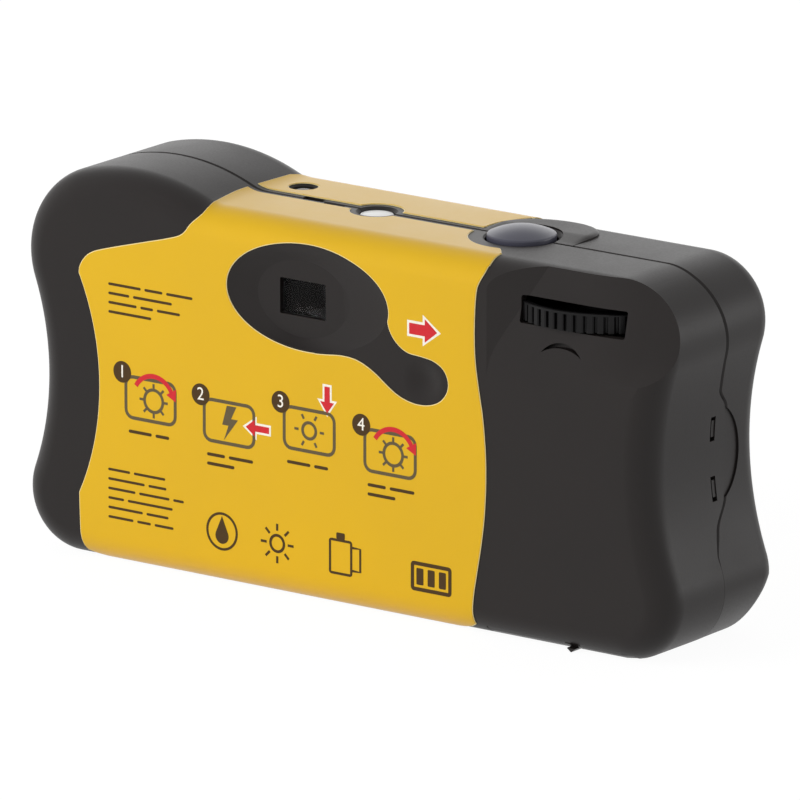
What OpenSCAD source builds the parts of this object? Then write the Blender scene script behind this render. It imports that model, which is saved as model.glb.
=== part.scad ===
// Disposable film camera with a built-in flash, drawn as separate pieces.
// Units are mm. +X is right seen from the lens side, +Y goes to the back, +Z is up.
// The origin is the middle of the footprint, on the plane the camera stands on.

/* [Film] */
// Diameter of the film cartridge
cart_d = 25; // [24:0.1:26]
// Length of the cartridge between its end caps
cart_h = 43.5; // [42:0.5:45]
// Width of the film strip
film_w = 35; // [34:0.5:36]
// Thickness of the film strip
film_t = 0.15; // [0.1:0.01:0.2]
// Width of the picture opening
gate_w = 36; // [30:0.5:37]
// Height of the picture opening
gate_h = 24; // [18:0.5:25]
// Diameter of the unexposed film roll
roll_d = 18; // [15:0.5:19]
// Pitch of the film perforations
perf_pitch = 4.75; // [4.5:0.05:5]

/* [Housing] */
// Wall thickness of both covers
wall = 1.5; // [1.3:0.1:1.8]
// Radius of the long rounded edges
edge_r = 4.5; // [4:0.1:5]
// Corner radius at the foot of both ends
corner_r = 9.5; // [8.5:0.5:10]
// Corner radius above the thumbwheel
top_corner_r = 10; // [9:0.5:11]
// How far the end above the thumbwheel stands back from the foot
top_inset = 1; // [0.4:0.1:1.4]
// Corner radius of the flash end
hump_corner_r = 14; // [12.5:0.5:15]
// Radius of the arch over the flash
arch_r = 36; // [32:1:44]
// Height of the arch above the flat top
hump_rise = 3.4; // [2.8:0.1:4.2]
// Radius of the hollow where the arch meets the top
blend_r = 8; // [6:0.5:12]
// Radius of the waist in the flash end
waist_r = 42; // [38:1:60]
// Radius of the waist in the thumbwheel end
grip_waist_r = 50; // [46:1:70]
// Depth of the back cover from the seam to the back face
back_depth = 14.8; // [14:0.1:15.4]
// Free height between the thumbwheel and the top wall
head_room = 3.6; // [3.4:0.1:4.4]
// Spare depth in front of and behind the cartridge
depth_gap = 1.4; // [1.2:0.1:2]
// Distance from the wheel rim to the end wall
wheel_gap = 5.2; // [4.6:0.1:6]
// Width of the bay behind the flash, beside the film roll
end_bay = 13.1; // [12.4:0.1:16]
// Thickness of the stuck-on label
label_t = 0.2; // [0.12:0.02:0.3]
// Width of the bare groove between the labels on the top
groove_w = 2; // [1.6:0.1:2.6]

/* [Thumbwheel] */
// Diameter of the thumbwheel
wheel_d = 28.2; // [27.8:0.1:28.4]
// Thickness of the thumbwheel
wheel_t = 3.6; // [3.2:0.1:4]
// Number of notches in the rim
wheel_notches = 54; // [40:1:60]
// Width of the slot in the back cover
slot_w = 18.8; // [17.5:0.1:20]
// Depth of the thumb scoop at the top of the body
scoop_depth = 4.6; // [4:0.1:5]
// Height of the thumb scoop, down from the top
scoop_h = 15.1; // [14.3:0.1:16]
// Width of the slanted side of the scoop
scoop_side = 9.1; // [8:0.1:10]

/* [Shutter] */
// Diameter of the shutter button
button_d = 11; // [10:0.2:11.6]
// Height of the shutter button above the top
button_rise = 1.7; // [1.5:0.1:2]
// Travel of the shutter button
button_travel = 1.3; // [1:0.1:1.4]
// Diameter of the aperture behind the lens
aperture_d = 3; // [2.4:0.1:3.4]
// Diameter of the round end of the shutter blade
blade_d = 6.4; // [6:0.1:6.8]
// Length of the shutter blade from its pivot to the lens axis
blade_arm = 13.9; // [13:0.1:14.6]

/* [Lens and viewfinder] */
// How far the lens bezel stands out of the front
lens_out = 2.6; // [2.2:0.1:3]
// Diameter of the lens
lens_d = 9; // [8:0.2:10]
// Diameter of the lens bezel
bezel_d = 24; // [22.6:0.2:26]
// Diameter of the raised disc around the lens
plinth_d = 37; // [34:0.5:38]
// Height of the raised disc and the flash frame
plinth_t = 0.8; // [0.5:0.1:1.2]
// Width of the eyepiece
eye_w = 8.6; // [7.6:0.1:8.8]
// Height of the eyepiece
eye_h = 5.6; // [5:0.1:6]
// Drop of the eyepiece below the flat top
eye_drop = 11.6; // [11.4:0.1:12.2]
// Width of the oval dish around the eyepiece
dish_w = 30; // [28:0.5:31]
// Height of the oval dish
dish_h = 16.1; // [15:0.1:16.6]
// Depth of the oval dish
dish_depth = 1.6; // [1.2:0.1:2]

/* [Flash] */
// Width of the flash window
flash_w = 20; // [18:0.5:20.5]
// Height of the flash window
flash_h = 12.5; // [11:0.5:12.5]
// Diameter of the flash button
flash_button_d = 10; // [9:0.2:10.4]
// Travel of the flash button
flash_travel = 1.2; // [0.9:0.1:1.3]
// Diameter of the flash capacitor
cap_d = 12.4; // [11.4:0.2:12.6]
// Length of the flash capacitor
cap_l = 32; // [28:0.5:34]
// Diameter of the battery
battery_d = 14.4; // [13.8:0.1:14.4]
// Length of the battery with its nub
battery_l = 50; // [49:0.1:51]

/* [Fits] */
// Radial play of a shaft or pin in its hole
pin_play = 0.08; // [0.05:0.01:0.1]
// Play round a button or a part in its opening
slip = 0.25; // [0.2:0.05:0.35]
// Smallest gap between moving parts that pass each other
pass_gap = 0.3; // [0.3:0.05:0.4]
// Gap between the two covers at the seam
seam_gap = 0.1; // [0.05:0.05:0.2]

/* [Hidden] */

$fn = 64;
black = [0.13, 0.13, 0.13];
grey = [0.35, 0.35, 0.4];
yellow = [0.89, 0.71, 0.14];
clear = [0.8, 0.9, 0.95, 0.5];
steel = [0.7, 0.7, 0.72];
brown = [0.3, 0.2, 0.15];
brass = [0.75, 0.6, 0.3];

// Heights, from the door up
cart_r = cart_d / 2;
cart_z = wall + 0.5;
film_z = cart_z + cart_h / 2;
film_z0 = film_z - film_w / 2;
film_z1 = film_z + film_w / 2;
deck_z = cart_z + cart_h + 1.9;
deck_t = 1.5;
deck_top = deck_z + deck_t;
wheel_z = deck_top + 0.8;
wheel_top = wheel_z + wheel_t;
body_h = wheel_top + head_room + wall;
top_in = body_h - wall;

// Depths, from the back
body_depth = 2 * wall + cart_d + depth_gap;
back_y = (body_depth + lens_out) / 2;
front_y = back_y - body_depth;
front_in = front_y + wall;
back_in = back_y - wall;
seam_y = back_y - back_depth;
cart_y = back_in - 0.1 - cart_r;
film_y = back_in - 2.2;
gate_y = film_y - film_t - 0.15;
gate_t = 1.2;

// Widths, from the thumbwheel end
wheel_r = wheel_d / 2;
chamber_t = 1.1;
chamber_r = cart_r + 0.4;
roll_chamber_r = roll_d / 2 + 0.4;
contact_gap = 0.8;
body_w = 2 * wall + wheel_gap + wheel_r + chamber_r + roll_chamber_r * 2 + 3 * chamber_t
    + 2 * contact_gap + battery_l + end_bay;
x_end = body_w / 2;
cart_x = -x_end + wall + wheel_gap + wheel_r;
battery_x = cart_x + chamber_r + chamber_t + contact_gap;
supply_x = battery_x + battery_l + contact_gap + chamber_t + roll_chamber_r;
supply_y = gate_y + 0.15 - 0.2 - roll_d / 2;
lens_x = (battery_x + battery_x + battery_l) / 2;

// Places of the controls and windows
button_x = cart_x + 16.9;
counter_x = lens_x + 4.2;
ready_x = lens_x + 22.2;
ready_y = seam_y - 5.5;
cap_x = lens_x + 20.9;
works_z = body_h - 12;
eye_x = lens_x + 8.3;
eye_z = body_h - eye_drop;
dish_x = eye_x - 2.1;
dish_z = body_h - 10.9;
tail_x = dish_x - 21.8;
tail_z = dish_z - 9.5;
flash_x = x_end - 17.5;
flash_z = body_h - 12.4;
flash_button_x = supply_x - 1.4;
flash_button_z = film_z - 4.7;
scoop_x = cart_x + 12.6;
slot_x = cart_x - 1.2;
scoop_foot = body_h - scoop_h;
door_half = cart_r + 0.8;
lip_x = cart_x + sqrt(pow(cart_r, 2) - pow(film_y - cart_y, 2));

// Shutter blade pivot, above the lens on the wheel side
blade_tilt = 28;
blade_px = lens_x - blade_arm * sin(blade_tilt);
blade_pz = film_z + blade_arm * cos(blade_tilt);
blade_t = 0.5;
plate_y = front_in + 2.7;
blade_y = plate_y - 0.2;
holder_y = blade_y - blade_t - pass_gap;
lens_front = holder_y - 1.2 - 2.6;

// Winding train on the deck
sprocket_r = 5.9;
sprocket_x = lens_x - 15.8;
sprocket_y = film_y - film_t - 0.25 - sprocket_r;
dial_r = 9;
dial_t = 1.2;
dial_x = lens_x - 3.1;
dial_z = deck_top + 3.7;
finger_r = norm([dial_x - sprocket_x, seam_y - sprocket_y]) - dial_r - 0.25;
lever_x = lens_x - 7.3;
lever_y = front_in + 6.4;
lever_z = deck_top + pass_gap;
lever_t = 1.4;
cam_r = 4;

// Shutter button and the rocker under the front of its flange
flange_z = top_in - 1.3;
latch_y = seam_y - 8;
latch_z = deck_top + 3.1;
latch_reach = 3.8;

// Battery under the lens, board beside the film roll, capacitor above the roll
battery_y = front_in + 0.3 + battery_d / 2;
battery_z = wall + 0.3 + battery_d / 2;
battery_back = battery_y + battery_d / 2 + 0.4;
board_y = front_in + 2.7;
cap_y = back_in - 0.8 - cap_d / 2;
cap_z = film_z1 + 2.6 + cap_d / 2;
reflector_y = front_in + 1.1;
reflector_depth = 6.2;

// Outline of the body seen from the front, as a chain of tangent arcs
hump_x = x_end - 19.6;
c_br = [x_end - corner_r, corner_r];
c_bl = [-x_end + corner_r, corner_r];
c_tl = [-x_end + top_inset + top_corner_r, body_h - top_corner_r];
c_arch = [hump_x, body_h + hump_rise - arch_r];
hump_dx = x_end - hump_corner_r - hump_x;
c_hump = [x_end - hump_corner_r, c_arch[1] + sqrt(pow(arch_r - hump_corner_r, 2) - pow(hump_dx, 2))];
c_blend = [hump_x - sqrt(pow(arch_r + blend_r, 2) - pow(body_h + blend_r - c_arch[1], 2)), body_h + blend_r];
w_r = meet(c_br, corner_r + waist_r, c_hump, hump_corner_r + waist_r);
w_l = meet(c_tl, top_corner_r + grip_waist_r, c_bl, corner_r + grip_waist_r);

// Film door hinge and the snap hooks in the thumbwheel end
door_lip = 0.8;
door_pin_y = cart_y - door_half + door_lip;
door_pin_z = wall * 0.63;
door_pin_r = 0.4;
lip_turn = norm([door_lip, wall - door_pin_z]) + pass_gap;
end_in = w_l[0] + grip_waist_r + wall;
hook_z = [body_h / 2 - 5, body_h / 2 + 5];
flash_in = w_r[0] - waist_r - wall - 0.4;
bow_reach = 3.2;
bow_r = 26;
bow_z = body_h / 2;

// Each arc: centre, radius, start angle, end angle, steps, 1 for a bulge or -1 for a hollow
arcs = [
    [c_br, corner_r, -90, heading(w_r - c_br), 7, 1],
    [w_r, waist_r, heading(w_r - c_br) + 180, heading(w_r - c_hump) + 180, 7, -1],
    [c_hump, hump_corner_r, heading(w_r - c_hump), heading(c_hump - c_arch), 8, 1],
    [c_arch, arch_r, heading(c_hump - c_arch), heading(c_blend - c_arch), 7, 1],
    [c_blend, blend_r, heading(c_blend - c_arch) + 180, 270, 3, -1],
    [c_tl, top_corner_r, 90, heading(w_l - c_tl) + 360, 8, 1],
    [w_l, grip_waist_r, heading(w_l - c_tl) + 180, heading(w_l - c_bl) - 180, 7, -1],
    [c_bl, corner_r, heading(w_l - c_bl), 270, 7, 1]
];
edge_steps = 5;

function heading(v) = atan2(v[1], v[0]);

// Where two circles meet, on the right of the way from a to b
function meet(a, ra, b, rb) =
    let (d = b - a, n = norm(d), k = (ra * ra - rb * rb + n * n) / (2 * n), h = sqrt(ra * ra - k * k))
    a + d * k / n + h * [d[1], -d[0]] / n;

// Points of one arc, moved inwards by inset
function arc_points(a, inset, last) =
    [for (i = [0 : a[4] - (last ? 0 : 1)])
        let (t = a[2] + (a[3] - a[2]) * i / a[4])
        a[0] + (a[1] - a[5] * inset) * [cos(t), sin(t)]];

// The whole outline, moved inwards by inset, as a ring at depth y
function body_ring(y, inset) =
    [for (k = [0 : 7]) for (p = arc_points(arcs[k], inset, k == 4 || k == 7)) [p[0], y, p[1]]];

// Rings of the rounded edge of a face; dir is 1 for the back, -1 for the front, off grows it
function edge_rings(face, dir, off) =
    [for (i = [0 : edge_steps])
        let (t = 90 * i / edge_steps)
        body_ring(face - dir * edge_r + dir * (edge_r + off) * sin(t),
            -off + (edge_r + off) * (1 - cos(t)))];

function turned_over(list) = [for (i = [len(list) - 1 : -1 : 0]) list[i]];

// An oval ring at depth y
function oval_ring(y, x, z, a, b) =
    [for (i = [0 : 39]) [x + a * cos(i * 9), y, z + b * sin(i * 9)]];

// Closed solid through a row of rings that go to the back, each counter-clockwise from the front
module skin(rings) {
    n = len(rings[0]);
    m = len(rings);
    ones = [for (p = rings[0]) 1 / n];
    points = concat([for (r = rings) each r], [ones * rings[0], ones * rings[m - 1]]);
    sides = [for (j = [0 : m - 2]) for (i = [0 : n - 1])
        let (k = (i + 1) % n)
        [j * n + i, j * n + k, j * n + n + k, j * n + n + i]];
    front_cap = [for (i = [0 : n - 1]) [n * m, (i + 1) % n, i]];
    back_cap = [for (i = [0 : n - 1]) [n * m + 1, n * m - n + i, n * m - n + (i + 1) % n]];
    polyhedron(points, concat(sides, front_cap, back_cap));
}

// Back half of the body from depth y, grown by off
module back_body(y, off) {
    skin(concat([body_ring(y, -off)], edge_rings(back_y, 1, off)));
}

// Front half of the body up to depth y, grown by off
module front_body(y, off) {
    skin(concat(turned_over(edge_rings(front_y, -1, off)), [body_ring(y, -off)]));
}

// A box given by its two corners
module span(a, b) {
    translate(a) cube(b - a);
}

// A round bar along Y from y0 to y1
module bar_y(x, z, y0, y1, r) {
    translate([x, y0, z]) rotate([-90, 0, 0]) cylinder(r = r, h = y1 - y0);
}

// A round bar along Z from z0 to z1
module bar_z(x, y, z0, z1, r) {
    translate([x, y, z0]) cylinder(r = r, h = z1 - z0);
}

// A round bar along X from x0 to x1
module bar_x(x0, x1, y, z, r) {
    translate([x0, y, z]) rotate([0, 90, 0]) cylinder(r = r, h = x1 - x0);
}

// A shape drawn in X and Z, stretched from depth y0 to y1
module thick_y(y0, y1) {
    translate([0, y1, 0]) rotate([90, 0, 0]) linear_extrude(y1 - y0) children();
}

// The thumb scoop in the back, moved in by off
module scoop(off) {
    run = scoop_side / scoop_depth;
    rise = scoop_h / scoop_depth;
    intersection() {
        translate([-x_end - 5, 0, 0]) rotate([90, 0, 90]) linear_extrude(x_end + 5 + scoop_x + 4 * run)
            polygon([[back_y - off - scoop_depth - 2 / rise, body_h + 2],
                [back_y + 3, scoop_foot - (3 + off) * rise], [back_y + 3, body_h + 2]]);
        linear_extrude(body_h + 2)
            polygon([[scoop_x + (3 + off) * run, back_y + 3],
                [scoop_x - scoop_side, back_y - off - scoop_depth],
                [scoop_x - scoop_side, back_y - off - scoop_depth - 1],
                [-x_end - 5, back_y - off - scoop_depth - 1], [-x_end - 5, back_y + 3]]);
    }
}

// The oval dish round the eyepiece, moved in by off
module dish(off) {
    skin([oval_ring(back_y - dish_depth - off, eye_x, eye_z, 8.5 + off, 6 + off * 0.8),
        oval_ring(back_y - off * 0.7, dish_x, dish_z, dish_w / 2, dish_h / 2),
        oval_ring(back_y + 1, dish_x, dish_z, dish_w / 2, dish_h / 2)]);
}

// Places for the button, the counter window and the ready light in the top wall
module top_holes() {
    bar_z(button_x, seam_y, top_in - 3, body_h + 5, button_d / 2 + slip);
    bar_z(counter_x, seam_y, top_in - 3, body_h + 5, 2.75);
    bar_z(ready_x, ready_y, top_in - 3, body_h + 5, 2);
}

// Opening for the film door, grown by off
module door_block(off) {
    span([cart_x - door_half - off, cart_y - door_half - off, -1],
        [cart_x + door_half + off, cart_y + door_half + off, wall + off]);
}

// Room in the front cover and its label for the door and the turn of its hinged lip, grown by off
module door_room(off) {
    door_block(slip + off);
    bar_x(cart_x - door_half - slip - off, cart_x + door_half + slip + off, door_pin_y, door_pin_z, lip_turn + off);
}

// Part of the thumbwheel end where the back cover reaches forward over the seam
module end_bow(off) {
    intersection() {
        bar_x(-x_end - 1, end_in + 2, seam_y - bow_reach + bow_r, bow_z, bow_r + off);
        span([-x_end - 1, front_y, 0], [end_in + 2, seam_y + 0.5, body_h]);
    }
}

// Free room for the thumbwheel and the cartridge inside the covers
module wind_room() {
    bar_z(cart_x, cart_y, wheel_z - pass_gap, wheel_top + pass_gap, wheel_r + 0.45);
    bar_z(cart_x, cart_y, 1, cart_z + cart_h + 0.5, cart_r + 0.2);
    intersection() {
        bar_z(cart_x, cart_y, 5 - 0.2, deck_top + 0.2, chamber_r + chamber_t + 0.1);
        span([-x_end, front_y, 0], [x_end, gate_y - gate_t + 0.2, body_h]);
    }
}

// Frame of the flash window and the keyhole round the lens, seen from the front
module keyhole(grow) {
    translate([lens_x, film_z]) circle(d = plinth_d + 2 * grow);
    translate([eye_x - 8 - grow, film_z]) square([16 + 2 * grow, eye_z + 6.4 + grow - film_z]);
}

module flash_frame() {
    intersection() {
        translate([flash_x - 13.5, flash_z - 9]) square([30, 16.4]);
        polygon([for (p = body_ring(0, edge_r + 0.2)) [p[0], p[2]]]);
    }
}

module front_cover() color(black) {
    difference() {
        union() {
            front_body(seam_y - seam_gap / 2, 0);
            thick_y(front_y - plinth_t, front_y + 0.5) keyhole(0);
            thick_y(front_y - plinth_t, front_y + 0.5) flash_frame();
            skin([for (t = [0 : 18 : 90])
                oval_ring(front_y + 0.4 - 2.4 * cos(t), cart_x - 4, body_h / 2,
                    4 + 2.8 * sin(t), body_h / 2 - 14 + 6 * sin(t))]);
        }
        front_body(seam_y + 1, -wall);
        wind_room();
        top_holes();
        door_room(0);
        bar_y(lens_x, film_z, front_y - 5, front_in + 1, bezel_d / 2 - 1.4);
        span([eye_x - 5.5, front_y - 5, eye_z - 4], [eye_x + 5.5, front_in + 1, eye_z + 4]);
        span([flash_x - flash_w / 2, front_y - 5, flash_z - flash_h / 2],
            [flash_x + flash_w / 2, front_in + 1, flash_z + flash_h / 2]);
        bar_y(flash_button_x, flash_button_z, front_y - 5, front_in + 1, flash_button_d / 2 + slip);
        end_bow(seam_gap);
        bar_x(-x_end - 1, end_in - wall + 0.7, seam_y - bow_reach + 5.4, body_h / 2 + 0.4, 9);
        bar_x(cart_x - door_half - slip - 0.65, cart_x + door_half + slip + 0.65,
            door_pin_y, door_pin_z, door_pin_r + pin_play);
    }
    for (z = hook_z) {
        span([end_in + 0.25, seam_y - 9, z - 1.6], [end_in + 1.1, seam_y + 1.4, z + 1.6]);
        span([end_in - 0.7, seam_y - 9, z - 1.6], [end_in + 0.6, seam_y - 4.2, z + 1.6]);
    }
    span([lens_x + 10.2, seam_y - 5, top_in - 1], [lens_x + 13.4, seam_y + 4, top_in - 0.15]);
    span([lens_x + 10.2, seam_y - 5, top_in - 0.6], [lens_x + 13.4, seam_y - 0.8, top_in + 0.4]);
}

module back_cover() color(black) {
    difference() {
        union() {
            back_body(seam_y + seam_gap / 2, 0);
            intersection() {
                difference() {
                    front_body(seam_y + 0.5, 0);
                    front_body(seam_y + 1, -wall);
                }
                end_bow(0);
            }
        }
        difference() {
            back_body(seam_y - 1, -wall);
            scoop(wall + 0.1);
            dish(wall);
        }
        scoop(0);
        dish(0);
        wind_room();
        top_holes();
        door_block(slip);
        span([slot_x - slot_w / 2, back_y - 9, wheel_z - pass_gap],
            [slot_x + slot_w / 2, back_y + 1, wheel_top + 0.25]);
        translate([cart_x - 0.7, back_y - 0.15, scoop_foot + 1.9]) rotate([-57.7, 0, 0])
            cylinder(r = 3.3, h = 5);
        bar_y(tail_x, tail_z, back_y - 0.7, back_y + 1, 3.9);
        span([eye_x - eye_w / 2, back_y - 6, eye_z - eye_h / 2],
            [eye_x + eye_w / 2, back_y + 1, eye_z + eye_h / 2]);
        for (z = hook_z)
            span([-x_end - 1, seam_y - 1.7, z - 1.9], [end_in + 0.2, seam_y - 0.5, z + 1.9]);
        span([lens_x + 9.9, seam_y - 1, top_in - 1], [lens_x + 13.7, seam_y + 0.95, body_h + 1]);
    }
    for (z = [film_z - gate_h / 2 - 2.5, film_z + gate_h / 2 + 1.5])
        span([lens_x - gate_w / 2, film_y + 0.25, z], [lens_x + gate_w / 2, back_in + 0.1, z + 1]);
}

module film_door() color(black) {
    intersection() {
        union() {
            back_body(seam_y - 3, 0);
            front_body(seam_y + 3, 0);
        }
        door_block(0);
        span([-x_end, front_y, 0], [x_end, back_y, wall]);
    }
    difference() {
        translate([cart_x - 2.3, 0, 0]) thick_y(back_y - 4.4, back_y)
            polygon([[-1.4, 2.8], [-1.3, 1], [0, 0], [1.3, 1], [1.4, 2.8]]);
        intersection() {
            back_body(seam_y, 0.25);
            span([-x_end, seam_y, wall - 0.3], [x_end, back_y, body_h]);
        }
    }
    bar_x(cart_x - door_half - 0.5, cart_x + door_half + 0.5, door_pin_y, door_pin_z, door_pin_r);
}

module label_back_shape() {
    difference() {
        polygon([[scoop_x + 2.6, 0], [scoop_x + 2.6, 5], [scoop_x + 1.7, 10], [scoop_x + 0.8, 15],
            [scoop_x + 0.2, 20], [scoop_x, 27], [scoop_x + 0.6, 34], [scoop_x + 1.4, 38],
            [scoop_x + 2.2, 43], [scoop_x + 2.3, 48], [scoop_x + 2, body_h - 5], [scoop_x + 1.3, body_h - 3.2],
            [scoop_x + 0.6, body_h - 1.8], [scoop_x + 0.5, body_h + 2], [hump_x - 14.4, body_h + 2],
            [hump_x - 14.8, body_h - 0.5], [hump_x - 14.1, body_h - 1.6], [hump_x - 13.2, body_h - 2.7],
            [hump_x - 12.5, body_h - 4.1], [hump_x - 11, body_h - 5.1], [hump_x - 3.3, body_h - 7.2],
            [x_end - 16.8, body_h - 8.9], [x_end - 13.8, body_h - 9.9], [x_end - 12.2, body_h - 11.5],
            [x_end - 11.5, body_h - 13.4], [x_end - 11.5, 4], [x_end - 12.6, 0]]);
        translate([x_end + 24.6, w_r[1]]) circle(r = 40.2, $fn = 128);
    }
}

module label_back_cut() {
    translate([dish_x, dish_z]) scale([dish_w / dish_h, 1]) circle(d = dish_h + 0.4, $fn = 80);
    translate([tail_x, tail_z]) circle(r = 4.2);
    polygon([[tail_x + 2, tail_z + 3.7], [tail_x + 5.4, tail_z + 5.4], [dish_x - 14.4, dish_z - 1.6],
        [dish_x - 4, dish_z - 7.4], [dish_x - 8.5, dish_z - 7.5], [dish_x - 12.5, dish_z - 9.4],
        [tail_x + 3, tail_z - 3], [tail_x, tail_z]]);
}

// Top of the label between the hump and the shutter button
module label_top_shape() {
    difference() {
        polygon([[button_x + 4, front_y - 1], [hump_x - 13.6, front_y - 1], [hump_x - 13.2, seam_y],
            [hump_x - 13.2, seam_y + 4], [hump_x - 13.8, seam_y + 8], [hump_x - 14.7, back_y - 3.5],
            [hump_x - 14.8, back_y + 1], [scoop_x + 0.5, back_y + 1], [scoop_x + 0.6, back_y - 3],
            [scoop_x + 1.3, back_y - 4.8], [button_x, seam_y + 8]]);
        translate([button_x, seam_y]) circle(r = 8.2);
        translate([counter_x, seam_y]) circle(r = 4.25);
        translate([ready_x, ready_y]) circle(r = 2.4);
    }
}

module back_label() color(yellow) {
    difference() {
        intersection() {
            back_body(seam_y + groove_w / 2, label_t + 0.03);
            union() {
                thick_y(back_y - edge_r, back_y + 1) label_back_shape();
                translate([0, 0, body_h - edge_r]) linear_extrude(edge_r + 3) label_top_shape();
            }
        }
        back_body(seam_y, 0.03);
        thick_y(back_y - 1, back_y + 1) label_back_cut();
        span([-x_end, front_y, -1], [x_end, back_y + 1, 0.3]);
    }
}

module label_front_shape() {
    difference() {
        polygon([[cart_x + 4, 0], [cart_x + 5.6, 9], [cart_x + 3.4, 25], [cart_x + 5.4, 42],
            [button_x + 0.5, body_h - 5], [button_x + 4, body_h + 2], [hump_x - 15, body_h + 2],
            [flash_x - 15, body_h - 6], [flash_x - 15, flash_z - 10.5], [x_end - 12, flash_z - 10.5],
            [x_end - 12.2, 6], [x_end - 13.3, 0]]);
        translate([x_end + 24.6, w_r[1]]) circle(r = 40.2, $fn = 128);
        keyhole(0.6);
        translate([flash_button_x, flash_button_z]) circle(d = flash_button_d + 3);
    }
}

module front_label() color(yellow) {
    difference() {
        intersection() {
            front_body(seam_y - groove_w / 2, label_t + 0.03);
            union() {
                thick_y(front_y - 1, front_y + edge_r) label_front_shape();
                translate([0, 0, body_h - edge_r]) linear_extrude(edge_r + 3) label_top_shape();
            }
        }
        front_body(seam_y, 0.03);
        door_room(0.2);
        span([-x_end, front_y - 1, -1], [x_end, back_y, 0.3]);
    }
}

// Four-sided funnel along Y between two openings
module funnel(y0, w0, h0, y1, w1, h1) {
    skin([for (s = [[y0, w0, h0], [y1, w1, h1]])
        [[-s[1] / 2, s[0], -s[2] / 2], [s[1] / 2, s[0], -s[2] / 2],
            [s[1] / 2, s[0], s[2] / 2], [-s[1] / 2, s[0], s[2] / 2]]]);
}

module chassis() color(black) {
    spool_floor = film_z0 - 2;
    spool_roof = film_z1 + 1.2;
    difference() {
        union() {
            span([lip_x + 2.7, gate_y - gate_t, film_z0 - 2], [supply_x, gate_y, film_z1 + 2]);
            translate([lens_x, 0, film_z])
                funnel(plate_y + 0.5, 11, 11, gate_y - 0.6, gate_w + 2.4, gate_h + 2.4);
            span([lens_x - 14.4, plate_y, film_z - 6.6], [lens_x + 9.6, plate_y + 1, works_z - 6.2]);
            span([lens_x - 14.4, plate_y, film_z], [lens_x - 8.4, plate_y + 1, deck_top]);
            difference() {
                bar_z(cart_x, cart_y, 5, deck_top, chamber_r + chamber_t);
                span([cart_x - 20, gate_y - gate_t, 0], [cart_x + 20, back_y, body_h]);
            }
            difference() {
                bar_z(supply_x, supply_y, spool_floor - 1.4, spool_roof + 1, roll_chamber_r + chamber_t);
                span([supply_x - 20, gate_y, 0], [supply_x + 20, back_y, body_h]);
            }
            span([-x_end + 6, plate_y + 0.6, deck_z], [eye_x - 5, gate_y - 0.5, deck_top]);
            span([cart_x + 14, gate_y - gate_t, film_z1], [eye_x - 5, gate_y - 0.5, deck_top]);
            span([eye_x - 5.6, plate_y + 1.2, eye_z - 5.2], [eye_x + 5.6, back_in - 3.4, eye_z + 5.2]);
            span([cart_x + chamber_r, battery_back, film_z0 - 2],
                [supply_x - roll_chamber_r, battery_back + 1.2, 13]);
            for (x = [cap_x + 5, cap_x + 24])
                span([x, cap_y - 5, spool_roof], [x + 2, cap_y + 5, cap_z - 2]);
            for (z = [film_z - 12, film_z + 8])
                bar_y(supply_x, z, board_y + 1.2, supply_y - roll_chamber_r, 1.6);
            span([cap_x + 5, supply_y - 3, spool_roof], [supply_x, supply_y + 3, spool_roof + 1]);
        }
        translate([lens_x, 0, film_z]) funnel(plate_y + 1.5, 5, 5, gate_y + 0.1, gate_w, gate_h);
        bar_y(lens_x, film_z, plate_y - 1, plate_y + 2, aperture_d / 2);
        bar_z(cart_x, cart_y, 0, deck_z, chamber_r);
        bar_z(cart_x, cart_y, deck_z - 1, deck_top + 1, 5.7);
        bar_z(supply_x, supply_y, spool_floor, spool_roof, roll_chamber_r);
        bar_z(supply_x, supply_y, spool_roof - 1, spool_roof + 2, 2 + pin_play);
        span([supply_x - roll_chamber_r - 3, gate_y - gate_t - 0.1, spool_floor + 0.5],
            [supply_x, gate_y + 1, spool_roof - 0.5]);
        bar_z(sprocket_x, sprocket_y, deck_z - 1, deck_top + 1, 1.8 + pin_play);
        bar_z(sprocket_x, sprocket_y, film_z1 - 5, deck_z, sprocket_r + pass_gap);
        span([eye_x - 4.4, plate_y, eye_z - 3.9], [eye_x + 4.4, back_y, eye_z + 3.9]);
        bar_x(battery_x - 3, battery_x + battery_l + 3, battery_y, battery_z, battery_d / 2 + 0.1);
        bar_x(cap_x, cap_x + cap_l + 8, cap_y, cap_z, cap_d / 2 + 0.05);
        span([blade_px - 1, plate_y - 3, works_z + 0.5], [lens_x + 2.8, plate_y + 1.2, deck_top + 1]);
        trough(flash_w + 6, 0.3);
    }
    bar_z(supply_x, supply_y, spool_floor - 0.5, spool_floor + 2.5, 1.5);
    bar_z(dial_x, seam_y, deck_top - 0.5, dial_z - 1.3, 2.4);
    bar_z(dial_x, seam_y, deck_top - 0.5, dial_z + dial_t + 0.5, 1.5);
    bar_z(lever_x, lever_y, deck_top - 0.5, lever_z + lever_t + 1.6, 1.4);
    bar_y(blade_px, blade_pz, holder_y + 0.1, plate_y + 0.5, 1);
    for (a = [200, 270, 330])
        bar_y(lens_x + 8.5 * cos(a), film_z + 8.5 * sin(a) * 0.8, holder_y, plate_y + 0.5, 0.9);
    for (s = [-1, 1])
        difference() {
            span([button_x + s * 3.6 - 0.6, latch_y - 1.2, deck_top - 0.5],
                [button_x + s * 3.6 + 0.6, latch_y + 1.2, latch_z + 1.3]);
            bar_x(button_x + s * 3.6 - 1, button_x + s * 3.6 + 1, latch_y, latch_z, 0.8 + pin_play);
        }
}

module battery() color([0.25, 0.25, 0.28]) {
    bar_x(battery_x + 0.4, battery_x + battery_l - 1.4, battery_y, battery_z, battery_d / 2);
    bar_x(battery_x + battery_l - 1.6, battery_x + battery_l, battery_y, battery_z, 2.7);
    bar_x(battery_x, battery_x + 0.6, battery_y, battery_z, 4.6);
}

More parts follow.
